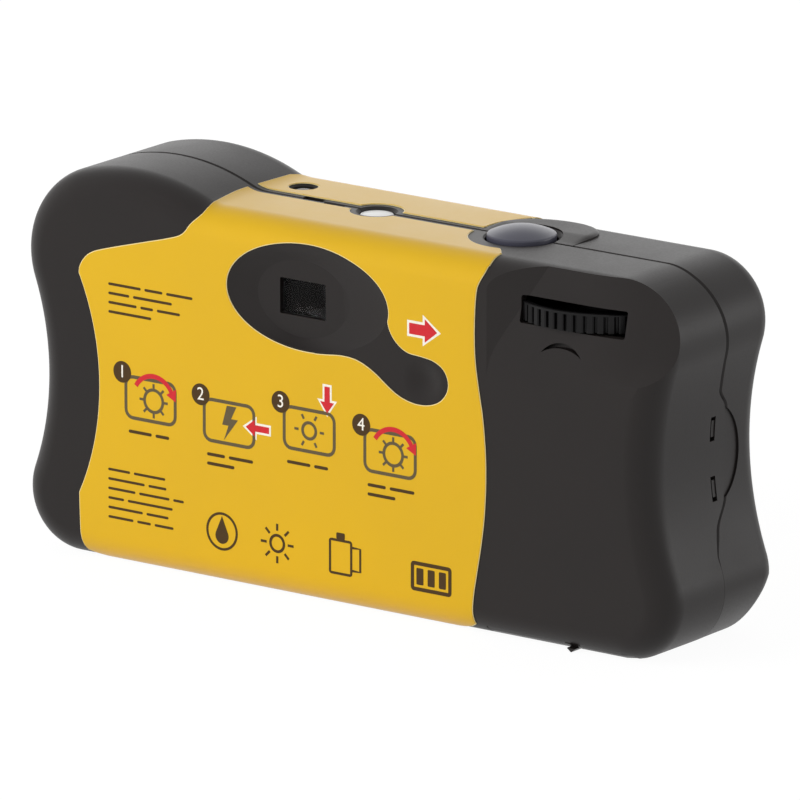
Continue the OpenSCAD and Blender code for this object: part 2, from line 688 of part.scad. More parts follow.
module contact_plus() color(brass) {
    translate([battery_x + battery_l + 0.05, 0, battery_z]) rotate([90, 0, 90]) linear_extrude(0.4)
        polygon([[battery_y - 4, -3], [battery_y + 2.6, -3], [battery_y + 2.6, 9], [board_y + 1.3, 9],
            [board_y + 1.3, 6.6], [battery_y - 4, 6.6]]);
    span([battery_x + battery_l + 0.15, board_y + 1.2, battery_z + 7.4],
        [supply_x - 4, board_y + 1.5, battery_z + 10]);
}

module contact_minus() color(brass) {
    span([battery_x - 0.45, battery_y - 5, battery_z - 4], [battery_x - 0.05, battery_y + 4, battery_z + 4]);
    difference() {
        span([battery_x - 0.45, battery_back - 0.45, battery_z - 2],
            [battery_x + 12, battery_back - 0.05, battery_z + 2]);
        bar_x(battery_x - 3, battery_x + 20, battery_y, battery_z, battery_d / 2 + 0.1);
    }
    span([battery_x - 0.45, battery_y + 3.8, battery_z - 2],
        [battery_x - 0.05, battery_back - 0.05, battery_z + 2]);
}

module lens() color(clear) {
    intersection() {
        bar_y(lens_x, film_z, holder_y - 6, holder_y, lens_d / 2);
        translate([lens_x, lens_front + 14, film_z]) sphere(r = 14, $fn = 96);
        bar_y(lens_x, film_z, holder_y - 6, lens_front + 2.6, lens_d / 2 + 1);
    }
}

module lens_holder() color(black) {
    difference() {
        union() {
            bar_y(lens_x, film_z, holder_y - 1.2, holder_y, bezel_d / 2 - 2);
            bar_y(lens_x, film_z, lens_front + 0.6, holder_y - 1, lens_d / 2 + 1.2);
        }
        bar_y(lens_x, film_z, lens_front - 1, holder_y - 1.2, lens_d / 2 + 0.05);
        bar_y(lens_x, film_z, holder_y - 2, holder_y + 1, lens_d / 2 - 1);
        bar_y(blade_px, blade_pz, holder_y - 3, holder_y + 1, 1.2);
    }
}

module lens_bezel() color(black) {
    translate([lens_x, front_y - plinth_t, film_z]) rotate([-90, 0, 0]) rotate_extrude()
        polygon([[lens_d / 2 - 0.2, -0.4], [lens_d / 2 - 0.2, 0.2], [lens_d / 2 + 0.4, 0.5],
            [bezel_d / 2 - 2.6, 0.5], [bezel_d / 2 - 2.6, 1.8], [bezel_d / 2 - 1.5, 1.8],
            [bezel_d / 2 - 1.5, 0], [bezel_d / 2, 0], [bezel_d / 2, plinth_t - lens_out + 0.6],
            [bezel_d / 2 - 0.6, plinth_t - lens_out], [bezel_d / 2 - 1.8, plinth_t - lens_out],
            [bezel_d / 2 - 4, -0.5]]);
}

// The blade hangs from its pin, covers the lens and has a tab that reaches the drive lever
module shutter_blade() color(steel) {
    difference() {
        thick_y(blade_y - blade_t, blade_y) {
            translate([lens_x, film_z]) circle(d = blade_d);
            translate([blade_px, blade_pz]) circle(r = 2.4);
            translate([blade_px, blade_pz]) rotate(blade_tilt) translate([-1.5, -blade_arm])
                square([3, blade_arm]);
            translate([blade_px - 1.2, blade_pz]) square([2.4, deck_top - blade_pz]);
        }
        bar_y(blade_px, blade_pz, blade_y - 2, blade_y + 2, 1 + pin_play);
    }
}

module blade_spring() color(steel) {
    translate([lens_x - 13.4, plate_y - 0.55, film_z + 8]) rotate([0, 52, 0]) cylinder(r = 0.25, h = 5.4);
    bar_y(lens_x - 13.4, film_z + 8, plate_y - 0.9, plate_y, 0.7);
}

module sync_contact() color(brass) {
    for (dx = [0, 0.8])
        span([lens_x - 14.2 + dx, plate_y - 1.4, works_z - 6], [lens_x - 13.9 + dx, plate_y - 0.2, works_z + 1]);
    span([lens_x - 14.2, plate_y - 0.4, works_z - 6], [lens_x - 13.1, plate_y, works_z - 4.4]);
}

// Two-armed lever on the deck; one arm rides by the cam and the other strikes the blade tab
module drive_lever() color([0.75, 0.75, 0.7]) {
    cam_dir = heading([sprocket_x - lever_x, sprocket_y - lever_y]);
    cam_arm = norm([sprocket_x - lever_x, sprocket_y - lever_y]) - cam_r - pass_gap;
    translate([lever_x, lever_y, lever_z]) difference() {
        linear_extrude(lever_t) {
            circle(r = 2.6);
            rotate(cam_dir) translate([0, -1.1]) square([cam_arm - 1.1, 2.2]);
            rotate(cam_dir) translate([cam_arm - 1.1, 0]) circle(r = 1.1);
            rotate(-36) translate([0, -1.1]) square([5.8, 2.2]);
            rotate(-36) translate([5.8, 0]) circle(r = 1.1);
        }
        translate([0, 0, -1]) cylinder(r = 1.4 + pin_play, h = 4);
    }
}

// Wire coil around Z: mean radius, wire radius, curls, start height, pitch
module coil(r, w, curls, z0, pitch) {
    rings = [for (i = [0 : curls * 12])
        let (a = i * 30, z = z0 + pitch * i / 12)
        [for (k = [0 : 5])
            let (reach = r + w * cos(k * 60))
            [reach * cos(a), reach * sin(a), z + w * sin(k * 60)]]];
    skin(rings);
}

module drive_spring() color(steel) {
    translate([lever_x, lever_y, 0]) coil(1.95, 0.2, 2, lever_z + lever_t + 0.45, 0.45);
}

module button_spring() color(steel) {
    translate([button_x, seam_y, 0]) coil(2.15, 0.25, 5, deck_top + 0.26, (flange_z - deck_top - 0.54) / 5);
}

// Domed cap with a flange under the top wall and a stem inside the spring
module shutter_button() color(grey) {
    dome_r = (pow(button_d / 2, 2) + 1) / 2;
    translate([button_x, seam_y, 0]) {
        translate([0, 0, flange_z]) cylinder(d = button_d, h = body_h + button_rise - 1 - flange_z);
        intersection() {
            translate([0, 0, body_h + button_rise - dome_r]) sphere(r = dome_r, $fn = 96);
            translate([0, 0, body_h]) cylinder(d = button_d, h = 5);
        }
        translate([0, 0, flange_z]) cylinder(d = button_d + 1.4, h = 1.1);
        translate([0, 0, deck_top + 2]) cylinder(r = 1.5, h = flange_z - deck_top - 1);
    }
}

module release_latch() color([0.6, 0.6, 0.55]) {
    bar_x(button_x - 4.2, button_x + 4.2, latch_y, latch_z, 0.8);
    bar_x(button_x - 2.6, button_x + 2.6, latch_y, latch_z, 1.2);
    span([button_x - 1.5, latch_y, latch_z - 0.8],
        [button_x + 1.5, latch_y + latch_reach + 0.6, latch_z + 0.8]);
    span([button_x - 1.5, latch_y + latch_reach - 0.6, latch_z],
        [button_x + 1.5, latch_y + latch_reach + 0.6, flange_z - 0.4]);
    span([button_x - 1.5, latch_y - 4.2, latch_z - 1.9], [button_x + 1.5, latch_y, latch_z + 1.1]);
}

module thumbwheel() color(black) {
    translate([cart_x, cart_y, 0]) {
        difference() {
            translate([0, 0, wheel_z]) cylinder(r = wheel_r, h = wheel_t, $fn = 128);
            for (i = [1 : wheel_notches])
                rotate(i * 360 / wheel_notches) translate([wheel_r + 0.1, 0, wheel_z - 1])
                    cylinder(r = 0.62, h = wheel_t + 0.4, $fn = 24);
            translate([0, 0, wheel_z - 1]) difference() {
                cylinder(r = wheel_r - 2, h = 2.2);
                cylinder(r = 8.4, h = 2.2);
            }
        }
        difference() {
            translate([0, 0, deck_top + pass_gap]) cylinder(r = 8.4, h = 1.2);
            translate([0, 0, deck_top]) cylinder(r = 7, h = 0.8);
        }
        translate([0, 0, cart_z + cart_h - 1]) cylinder(r = 2.7, h = wheel_z - cart_z - cart_h + 1.2);
        translate([0, 0, wheel_top - 0.2]) cylinder(r = 5, h = head_room - pass_gap + 0.2);
    }
}

// Springy finger on the deck that stops short of the rim
module anti_reverse_pawl() color(steel) {
    a = 35;
    tip = wheel_r + pass_gap;
    difference() {
        span([cart_x + tip * cos(a) - 0.2, cart_y + tip * sin(a) - 0.2, deck_top + 0.5],
            [cart_x + tip * cos(a) + 5.4, cart_y + tip * sin(a) + 0.6, deck_top + 3]);
        bar_z(cart_x, cart_y, deck_top, body_h, tip);
    }
    span([cart_x + tip * cos(a) + 4.6, cart_y + tip * sin(a) - 0.8, deck_top],
        [cart_x + tip * cos(a) + 7, gate_y - 0.6, deck_top + 3]);
}

module cartridge_shell() color([0.75, 0.7, 0.5]) {
    difference() {
        union() {
            bar_z(cart_x, cart_y, cart_z, cart_z + cart_h, cart_r);
            span([lip_x - 2, film_y - film_t - 1, cart_z + 1.5],
                [lip_x + 2.4, film_y + 0.9, cart_z + cart_h - 1.5]);
        }
        bar_z(cart_x, cart_y, cart_z + 0.6, cart_z + cart_h - 0.6, cart_r - 0.4);
        bar_z(cart_x, cart_y, cart_z - 1, cart_z + cart_h + 1, 5.7);
        span([lip_x - 4, film_y - film_t - 0.2, film_z0 - 0.3], [lip_x + 4, film_y + 0.2, film_z1 + 0.3]);
    }
}

module cartridge_spool() color(black) {
    translate([cart_x, cart_y, 0]) difference() {
        union() {
            translate([0, 0, cart_z + 0.2]) cylinder(r = 5.4, h = deck_top - cart_z - 0.5);
            for (z = [cart_z + 0.6 + pass_gap, cart_z + cart_h - 1.5 - pass_gap])
                translate([0, 0, z]) cylinder(r = cart_r - 1.2, h = 0.9);
        }
        translate([0, 0, cart_z + cart_h - 2]) cylinder(r = 3, h = 10);
        translate([0, 0, cart_z]) cylinder(r = 3, h = 4);
    }
}

module film_strip() color(brown) {
    start = cart_x + sqrt(pow(cart_r, 2) - pow(film_y - cart_y, 2));
    count = floor((supply_x - start - 5) / perf_pitch);
    difference() {
        span([start, film_y - film_t, film_z0], [supply_x, film_y, film_z1]);
        for (i = [1 : count])
            for (z = [film_z0 + 2, film_z1 - 4.8])
                translate([start + 3 + i * perf_pitch, film_y - 1, z]) cube([2, 2, 2.8]);
    }
}

module film_roll() color(brown) {
    translate([supply_x, supply_y, film_z0]) difference() {
        cylinder(r = roll_d / 2, h = film_w);
        translate([0, 0, -1]) cylinder(r = 4, h = film_w + 2);
    }
}

module supply_spool() color(black) {
    translate([supply_x, supply_y, 0]) difference() {
        union() {
            translate([0, 0, film_z0 - 1.6]) cylinder(r = 4, h = film_w + 2.4);
            translate([0, 0, film_z1]) cylinder(r = 2, h = 2);
        }
        translate([0, 0, film_z0 - 2]) cylinder(r = 1.5 + pin_play, h = 4);
    }
}

// Toothed wheel driven by the film, with the cocking cam and the counter finger on its shaft
module sprocket() color([0.9, 0.9, 0.88]) {
    translate([sprocket_x, sprocket_y, 0]) {
        translate([0, 0, film_z1 - 4.4]) cylinder(r = sprocket_r - 1.6, h = 4.2);
        for (i = [0 : 7])
            rotate(i * 45) translate([sprocket_r - 2.2, -0.8, film_z1 - 4.2]) cube([2.2, 1.6, 1.8]);
        translate([0, 0, film_z1 - 2]) cylinder(r = 1.8, h = dial_z + dial_t + 2 - film_z1);
        difference() {
            translate([0, 0, lever_z]) cylinder(r = cam_r, h = lever_t);
            translate([cam_r - 1, -0.9, lever_z - 1]) cube([3, 1.8, 4]);
        }
        translate([0, -0.7, dial_z]) cube([finger_r, 1.4, dial_t]);
    }
}

module counter_dial() color([0.95, 0.95, 0.93]) {
    translate([dial_x, seam_y, 0]) difference() {
        union() {
            translate([0, 0, dial_z]) cylinder(r = dial_r, h = dial_t, $fn = 96);
            translate([0, 0, dial_z - 1]) cylinder(r = 2.6, h = 1.2);
        }
        translate([0, 0, dial_z - 2]) cylinder(r = 1.5 + pin_play, h = 5);
        for (i = [1 : 28])
            rotate(i * 360 / 28) translate([dial_r + 0.1, 0, dial_z - 1]) cylinder(r = 0.5, h = 3, $fn = 16);
    }
}

module counter_window() color(clear) {
    bar_z(counter_x, seam_y, top_in - 1, top_in, 3.6);
    bar_z(counter_x, seam_y, top_in - 0.5, body_h - 0.7, 2.65);
}

module viewfinder_front() color(clear) {
    difference() {
        span([eye_x - 5.4, front_y - 0.2, eye_z - 3.9], [eye_x + 5.4, front_in + 0.4, eye_z + 3.9]);
        translate([eye_x, front_in + 0.4 + 20 - 0.9, eye_z]) sphere(r = 20, $fn = 96);
    }
    span([eye_x - 5.4, front_in, eye_z - 4.7], [eye_x + 5.4, front_in + 0.4, eye_z - 3.8]);
}

module viewfinder_eyepiece() color(clear) {
    front = back_y - dish_depth - wall - 0.4;
    span([eye_x - eye_w / 2 + 0.1, front, eye_z - eye_h / 2 + 0.1],
        [eye_x + eye_w / 2 - 0.1, back_y - dish_depth - 0.6, eye_z + eye_h / 2 - 0.1]);
    intersection() {
        span([eye_x - eye_w / 2 + 0.1, front - 2, eye_z - eye_h / 2 + 0.1],
            [eye_x + eye_w / 2 - 0.1, front + 0.2, eye_z + eye_h / 2 - 0.1]);
        translate([eye_x, front + 14.2, eye_z]) sphere(r = 15, $fn = 96);
    }
}

// Board beside the film roll, with an arm that carries the ready lamp
module circuit_board() color([0.1, 0.35, 0.2]) {
    difference() {
        union() {
            span([battery_x + battery_l + 1.2, board_y, 4.2], [x_end - 6.6, board_y + 1.2, flash_z - 9.4]);
            span([ready_x - 4, board_y, battery_z + 9.5], [supply_x, board_y + 1.2, flash_z - 9.4]);
            span([ready_x - 4, board_y, battery_z + 9.5], [ready_x + 4.5, board_y + 1.2, flash_z + 1]);
        }
        for (z = [film_z - 12, film_z + 8])
            bar_y(supply_x, z, board_y - 1, board_y + 2, 0.8);
    }
}

module board_parts() color([0.55, 0.35, 0.2]) {
    y = board_y + 1.2;
    x = flash_in - 8;
    span([x, y, film_z + 4], [x + 4.6, y + 3.4, film_z + 9]);
    bar_x(x, x + 7, y + 1.2, film_z - 1, 1.2);
    bar_x(x, x + 7, y + 1.2, film_z - 4.6, 1.2);
    span([x + 5.4, y, film_z + 2], [x + 8, y + 5, film_z + 9.4]);
}

module transformer() color([0.7, 0.55, 0.2]) {
    y = board_y + 1.2;
    x = flash_in - 8.6;
    z = film_z - 12;
    difference() {
        span([x, y, z - 4.75], [x + 8.6, y + 8, z + 4.75]);
        span([x + 1.6, y + 1.6, z - 6], [x + 7, y + 9, z - 3.5]);
        span([x + 1.6, y + 1.6, z + 3.5], [x + 7, y + 9, z + 6]);
    }
}

module flash_capacitor() color([0.15, 0.15, 0.2]) {
    difference() {
        bar_x(cap_x + 1.5, cap_x + 1.5 + cap_l, cap_y, cap_z, cap_d / 2);
        bar_x(cap_x + 1, cap_x + 2.1, cap_y, cap_z, cap_d / 2 - 1);
    }
    for (s = [-1, 1])
        bar_x(cap_x, cap_x + 3, cap_y, cap_z + s * 2.5, 0.4);
}

// Trough of the reflector, grown by off, as long as l
module trough(l, off) {
    half = flash_h / 2 + 0.6 + off;
    back = reflector_depth + off;
    knee = reflector_depth * 0.55;
    translate([flash_x - l / 2, reflector_y, flash_z]) rotate([90, 0, 90]) linear_extrude(l)
        polygon([[-1, -half], [knee, -half + 1.6], [back, -2.6 - off], [back, 2.6 + off],
            [knee, half - 1.6], [-1, half]]);
}

module flash_reflector() color([0.85, 0.85, 0.87]) {
    difference() {
        trough(flash_w + 0.8, 0);
        trough(flash_w - 0.4, -0.6);
        span([flash_x - x_end, reflector_y - 3, 0], [flash_x + x_end, reflector_y, body_h + 9]);
        bar_x(flash_x - flash_w, flash_x + flash_w, reflector_y + reflector_depth - 2.6, flash_z, 1.6);
    }
}

module flash_tube() color(clear) {
    y = reflector_y + reflector_depth - 2.6;
    bar_x(flash_x - flash_w / 2 - 2, flash_x + flash_w / 2 + 2, y, flash_z, 1.5);
}

module flash_window() color(clear) {
    span([flash_x - flash_w / 2 + 0.1, front_y - plinth_t + 0.3, flash_z - flash_h / 2 + 0.1],
        [flash_x + flash_w / 2 - 0.1, front_in + 0.2, flash_z + flash_h / 2 - 0.1]);
    span([flash_x - flash_w / 2 - 0.8, front_in, flash_z - flash_h / 2 - 0.8],
        [flash_x + flash_w / 2 + 0.8, front_in + 1, flash_z + flash_h / 2 + 0.8]);
    for (i = [1 : 11])
        bar_z(flash_x - flash_w / 2 + i * flash_w / 12, front_y - plinth_t + 0.3, flash_z - flash_h / 2 + 0.4,
            flash_z + flash_h / 2 - 0.4, 0.45);
}

module ready_lamp() color([0.95, 0.6, 0.2]) {
    y = board_y + 1.2 + 2.4;
    bar_z(ready_x, y, works_z - 3, works_z + 4.5, 2.2);
    translate([ready_x, y, works_z + 4.5]) sphere(r = 2.2);
    span([ready_x - 1.2, board_y + 1.2, works_z - 4], [ready_x + 1.2, y + 1, works_z - 2.5]);
}

module ready_pipe() color(clear) {
    bar_z(ready_x, ready_y, works_z + 7.5, body_h - 0.2, 1.9);
    bar_z(ready_x, ready_y, top_in - 1, top_in, 2.7);
}

// Round push button in the front with a flange behind the wall and a plunger
module flash_button() color([0.85, 0.3, 0.15]) {
    bar_y(flash_button_x, flash_button_z, front_y - 0.9, front_in + 0.6, flash_button_d / 2);
    bar_y(flash_button_x, flash_button_z, front_y - 1.2, front_y, flash_button_d / 2 - 0.8);
    bar_y(flash_button_x, flash_button_z, front_in + 0.1, front_in + 0.7, flash_button_d / 2 + 0.8);
}

module flash_switch() color(brass) {
    translate([flash_button_x, board_y, flash_button_z]) {
        span([-3, -0.5, -1.2], [7.6, -0.2, 1.2]);
        span([6, -0.4, -1.2], [7.6, 0, 1.2]);
        span([-3, -0.2, 3], [3, 0, 5]);
    }
}

front_cover();
back_cover();
chassis();
front_label();
back_label();
film_door();
lens();
lens_holder();
lens_bezel();
shutter_blade();
blade_spring();
sync_contact();
drive_lever();
drive_spring();
shutter_button();
button_spring();
release_latch();
thumbwheel();
anti_reverse_pawl();
cartridge_shell();
cartridge_spool();
film_strip();
film_roll();
supply_spool();
sprocket();
counter_dial();
counter_window();
viewfinder_front();
viewfinder_eyepiece();
ready_lamp();
ready_pipe();
battery();
contact_plus();
contact_minus();
circuit_board();
board_parts();
transformer();
flash_capacitor();
flash_reflector();
flash_tube();
flash_window();
flash_button();
flash_switch();
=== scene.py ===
import math

import bmesh
import bpy
import numpy as np
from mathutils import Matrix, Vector, geometry


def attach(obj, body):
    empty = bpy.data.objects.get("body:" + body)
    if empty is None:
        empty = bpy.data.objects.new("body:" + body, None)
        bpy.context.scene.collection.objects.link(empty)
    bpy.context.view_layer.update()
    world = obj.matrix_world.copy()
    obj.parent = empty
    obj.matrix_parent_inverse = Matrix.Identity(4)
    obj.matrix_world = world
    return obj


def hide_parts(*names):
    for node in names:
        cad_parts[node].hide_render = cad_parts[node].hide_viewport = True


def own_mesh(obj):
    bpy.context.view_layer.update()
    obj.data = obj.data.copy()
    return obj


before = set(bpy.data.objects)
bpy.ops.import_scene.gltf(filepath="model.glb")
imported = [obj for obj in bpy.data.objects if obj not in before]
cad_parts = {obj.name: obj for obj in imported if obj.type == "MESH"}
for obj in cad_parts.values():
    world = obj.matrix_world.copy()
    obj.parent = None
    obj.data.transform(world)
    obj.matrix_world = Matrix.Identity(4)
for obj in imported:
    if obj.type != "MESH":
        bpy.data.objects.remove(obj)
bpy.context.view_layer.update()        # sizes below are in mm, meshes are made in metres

mm = 0.001
print("frame loaded")


# shader helpers
class Wire:
    # an output socket; plain maths on it adds Math nodes
    def __init__(self, finish, socket):
        self.finish = finish
        self.socket = socket

    def maths(self, operation, first, second):
        return self.finish.add("ShaderNodeMath", {"operation": operation}, {0: first, 1: second})

    def __add__(self, other):
        return self.maths("ADD", self, other)

    def __sub__(self, other):
        return self.maths("SUBTRACT", self, other)

    def __rsub__(self, other):
        return self.maths("SUBTRACT", other, self)

    def __mul__(self, other):
        return self.maths("MULTIPLY", self, other)

    __radd__ = __add__
    __rmul__ = __mul__


class Finish:
    # one material, built round its Principled shader
    def __init__(self, name):
        self.material = bpy.data.materials.new(name)
        self.material.use_nodes = True
        self.tree = self.material.node_tree
        self.shader = self.tree.nodes["Principled BSDF"]
        self.place = self.add("ShaderNodeTexCoord", out="Object")

    def add(self, kind, settings=None, values=None, out=0):
        node = self.tree.nodes.new(kind)
        for key, value in (settings or {}).items():
            setattr(node, key, value)
        for key, value in (values or {}).items():
            self.feed(node.inputs[key], value)
        return Wire(self, node.outputs[out])

    def feed(self, socket, value):
        if isinstance(value, Wire):
            self.tree.links.new(value.socket, socket)
        else:
            socket.default_value = value

    def set(self, values):
        for key, value in values.items():
            self.feed(self.shader.inputs[key], value)

    def noise(self, size, detail=2.0, stretch=(1, 1, 1)):
        at = self.place
        if stretch != (1, 1, 1):
            at = self.add("ShaderNodeMapping", None, {"Vector": at, "Scale": stretch})
        return self.add("ShaderNodeTexNoise", None, {"Vector": at, "Scale": 1 / size, "Detail": detail})

    def mix(self, amount, first, second):
        return self.add("ShaderNodeMix", {"data_type": "RGBA"}, {0: amount, 6: first, 7: second}, out=2)

    def bump(self, height, strength, depth):
        return self.add("ShaderNodeBump", None, {"Height": height, "Strength": strength, "Distance": depth})


def srgb(r, g, b):
    def linear(v):
        v = v / 255
        return v / 12.92 if v <= 0.04045 else ((v + 0.055) / 1.055) ** 2.4
    return (linear(r), linear(g), linear(b), 1.0)


def shade(colour, amount):
    return tuple(min(1.0, v * amount) for v in colour[:3]) + (1.0,)


# moulded plastic: fine spark-eroded grain, faint cloudiness in colour and gloss
def mouldedPlastic(name, colour, rough, grain=0.00032, relief=0.00002, spread=0.12, shine=0.5):
    f = Finish(name)
    fine = f.noise(grain, 3.0)
    cloud = f.noise(0.011, 2.0)
    f.set({"Base Color": f.mix(cloud, shade(colour, 1 - spread), shade(colour, 1 + spread)),
           "Roughness": rough + (cloud - 0.5) * 0.10 + (fine - 0.5) * 0.12,
           "Normal": f.bump(fine, 0.35, relief),
           "Specular IOR Level": shine})
    return f.material


# label film: even print under a satin varnish with a little orange peel
def labelFilm(name, colour):
    f = Finish(name)
    peel = f.noise(0.0016, 2.0)
    cloud = f.noise(0.02, 3.0)
    f.set({"Base Color": f.mix(cloud, shade(colour, 0.955), shade(colour, 1.04)),
           "Roughness": 0.34 + (cloud - 0.5) * 0.12 + (peel - 0.5) * 0.05,
           "Normal": f.bump(peel, 0.12, 0.00002),
           "Specular IOR Level": 0.4})
    return f.material


def ink(name, colour):
    f = Finish(name)
    speck = f.noise(0.0004, 2.0)
    f.set({"Base Color": f.mix(speck, shade(colour, 0.88), shade(colour, 1.1)),
           "Roughness": 0.48 + (speck - 0.5) * 0.12, "Specular IOR Level": 0.22})
    return f.material


def clearPlastic(name, tint, rough=0.03, index=1.49):
    f = Finish(name)
    smear = f.noise(0.004, 3.0, (1, 1, 4))
    f.set({"Base Color": tint, "Transmission Weight": 1.0, "IOR": index,
           "Roughness": rough + smear * 0.03})
    return f.material


def metal(name, colour, rough):
    f = Finish(name)
    brushed = f.noise(0.0009, 2.0, (1, 1, 30))
    f.set({"Base Color": f.mix(brushed, shade(colour, 0.9), shade(colour, 1.05)), "Metallic": 1.0,
           "Roughness": rough + (brushed - 0.5) * 0.15,
           "Normal": f.bump(brushed, 0.15, 0.00001)})
    return f.material


finishes = {
    "shell": mouldedPlastic("shellBlack", srgb(31, 27, 26), 0.44, shine=0.26),
    # thumbwheel: black plastic darkened below the shell's black, as painted shade of the slot it sits in
    "wheel": mouldedPlastic("wheelBlackPaintedShade", srgb(14, 13, 14), 0.42, 0.0005, shine=0.2),
    "inside": mouldedPlastic("insideBlack", srgb(24, 24, 25), 0.6, shine=0.2),
    "button": mouldedPlastic("buttonGrey", srgb(66, 66, 80), 0.36, 0.00025, 0.00001, 0.05),
    "yellow": labelFilm("labelYellow", srgb(221, 175, 4)),
    "paper": labelFilm("labelEdge", srgb(240, 222, 160)),
    "redPlastic": mouldedPlastic("redPlastic", srgb(200, 60, 50), 0.38, 0.00025, 0.00001, 0.05),
    "white": mouldedPlastic("whitePlastic", srgb(250, 250, 248), 0.35, 0.00025, 0.00001, 0.03),
    "pale": mouldedPlastic("paleAcetal", srgb(215, 212, 200), 0.45, 0.0003, 0.00001, 0.04),
    "clear": clearPlastic("clearAcrylic", (0.97, 0.98, 1.0, 1.0)),
    "pane": clearPlastic("smokedPane", (0.7, 0.7, 0.72, 1.0), 0.01, 1.14),
    "darkLens": mouldedPlastic("lampLens", srgb(30, 24, 24), 0.2, 0.004, 0.000002, 0.05, 0.35),
    "lens": clearPlastic("lensAcrylic", (0.9, 0.93, 1.0, 1.0), 0.01),
    "brass": metal("contactBrass", srgb(205, 165, 90), 0.3),
    "steel": metal("springSteel", srgb(190, 190, 192), 0.28),
    "blackSteel": metal("bladeSteel", srgb(34, 34, 36), 0.5),
    "mirror": metal("reflectorMetal", srgb(225, 225, 228), 0.12),
    "tin": metal("cartridgeTin", srgb(170, 168, 160), 0.35),
    "film": mouldedPlastic("filmBase", srgb(92, 62, 52), 0.25, 0.002, 0.000005, 0.05),
    "board": mouldedPlastic("boardLaminate", srgb(40, 100, 62), 0.5, 0.0006),
    "amber": mouldedPlastic("lampAmber", srgb(240, 160, 60), 0.3, 0.0005, 0.000005, 0.04),
    "brown": mouldedPlastic("componentBrown", srgb(120, 84, 56), 0.45, 0.0005),
    "tape": mouldedPlastic("coilTape", srgb(205, 165, 60), 0.35, 0.0008),
    "jacket": mouldedPlastic("batteryJacket", srgb(60, 60, 66), 0.32, 0.0008, 0.000005, 0.06),
    "inkDark": ink("inkBrown", srgb(70, 50, 22)),
    "inkGrey": ink("inkGrey", srgb(96, 84, 60)),
    "inkRed": ink("inkRed", srgb(206, 44, 52)),
    "inkWhite": ink("inkWhite", srgb(244, 240, 228)),
}
print("finishes made")


# mesh helpers, all in mm
def link(name, verts, faces, finish=None):
    mesh = bpy.data.meshes.new(name)
    mesh.from_pydata([tuple(v) for v in np.asarray(verts, float) * mm], [], faces)
    mesh.validate()
    obj = bpy.data.objects.new(name, mesh)
    bpy.context.collection.objects.link(obj)
    outward(obj)
    if finish:
        mesh.materials.append(finishes[finish])
    return obj


def outward(obj):
    b = bmesh.new()
    b.from_mesh(obj.data)
    bmesh.ops.recalc_face_normals(b, faces=b.faces)
    b.to_mesh(obj.data)
    b.free()


def evaluated(obj):
    graph = bpy.context.evaluated_depsgraph_get()
    return bpy.data.meshes.new_from_object(obj.evaluated_get(graph))


def carve(obj, tool, operation="DIFFERENCE"):
    change = obj.modifiers.new("carve", "BOOLEAN")
    change.operation, change.solver, change.object = operation, "MANIFOLD", tool
    mesh = evaluated(obj)
    obj.modifiers.clear()
    obj.data = mesh
    bpy.data.objects.remove(tool)
    return obj


def settle(obj, finish, angle=30):
    mesh = obj.data
    mesh.materials.clear()
    mesh.materials.append(finishes[finish])
    for face in mesh.polygons:
        face.material_index = 0
        face.use_smooth = True
    mesh.set_sharp_from_angle(angle=math.radians(angle))
    return obj


def loft(rings, closeEnds=True):
    count = len(rings[0])
    verts = np.concatenate(rings)
    faces = []
    for j in range(0, len(verts) - count, count):
        for i in range(count):
            k = (i + 1) % count
            faces.append([j + i, j + k, j + count + k, j + count + i])
    if closeEnds:
        faces.append(list(range(count))[::-1])
        faces.append(list(range(len(verts) - count, len(verts))))
    return verts, faces


# (x, z) points stood up at a depth y
def upright(points, depth):
    return np.column_stack([points[:, 0], np.broadcast_to(depth, len(points)), points[:, 1]])


# a flat outline stretched along an axis: "y" takes (x, z) points, "z" takes (x, y), "x" takes (y, z)
def prism(points, axis, low, high):
    points = np.asarray(points, float)
    order = {"x": (2, 0, 1), "y": (0, 2, 1), "z": (0, 1, 2)}[axis]
    rings = [np.column_stack([points, np.full(len(points), level)])[:, order] for level in (low, high)]
    return link("prism", *loft(rings))


def block(low, high):
    (x0, y0, z0), (x1, y1, z1) = low, high
    return prism([(x0, y0), (x1, y0), (x1, y1), (x0, y1)], "z", z0, z1)


def circle(centre, radius, count=72, start=0.0, end=360.0):
    turn = np.radians(np.linspace(start, end, count, endpoint=end - start < 360))
    return np.stack([centre[0] + radius * np.cos(turn), centre[1] + radius * np.sin(turn)], axis=1)


def onCircle(centre, radius, degrees):
    turn = math.radians(degrees)
    return np.array([centre[0] + radius * math.cos(turn), centre[1] + radius * math.sin(turn)])


def roundedBox(centre, width, height, radius, steps=6):
    corners = []
    for k, (sx, sy) in enumerate([(1, 1), (-1, 1), (-1, -1), (1, -1)]):
        middle = (centre[0] + sx * (width / 2 - radius), centre[1] + sy * (height / 2 - radius))
        corners.append(circle(middle, radius, steps, 90 * k, 90 * k + 90))
    return np.concatenate(corners)


def ovalPoints(centre, a, b, count=48):
    turn = np.linspace(0, 2 * math.pi, count, endpoint=False)
    return np.stack([centre[0] + a * np.cos(turn), centre[1] + b * np.sin(turn)], axis=1)


def cutCorners(points):
    points = np.asarray(points, float)
    for _ in range(3):
        after = np.roll(points, -1, axis=0)
        points = np.stack([points * 0.75 + after * 0.25, points * 0.25 + after * 0.75], axis=1).reshape(-1, 2)
    return points


poleRadius = 0.0005                         # a turned piece closes on a tiny ring


# a profile of (radius, height) turned about an upright axis through a place
def lathe(name, profile, place, count=96):
    rings = []
    for radius, height in profile:
        flat = circle((0, 0), max(radius, poleRadius), count)
        rings.append(np.column_stack([flat, np.full(count, float(height))]) + np.array(place))
    return link(name, *loft(rings))


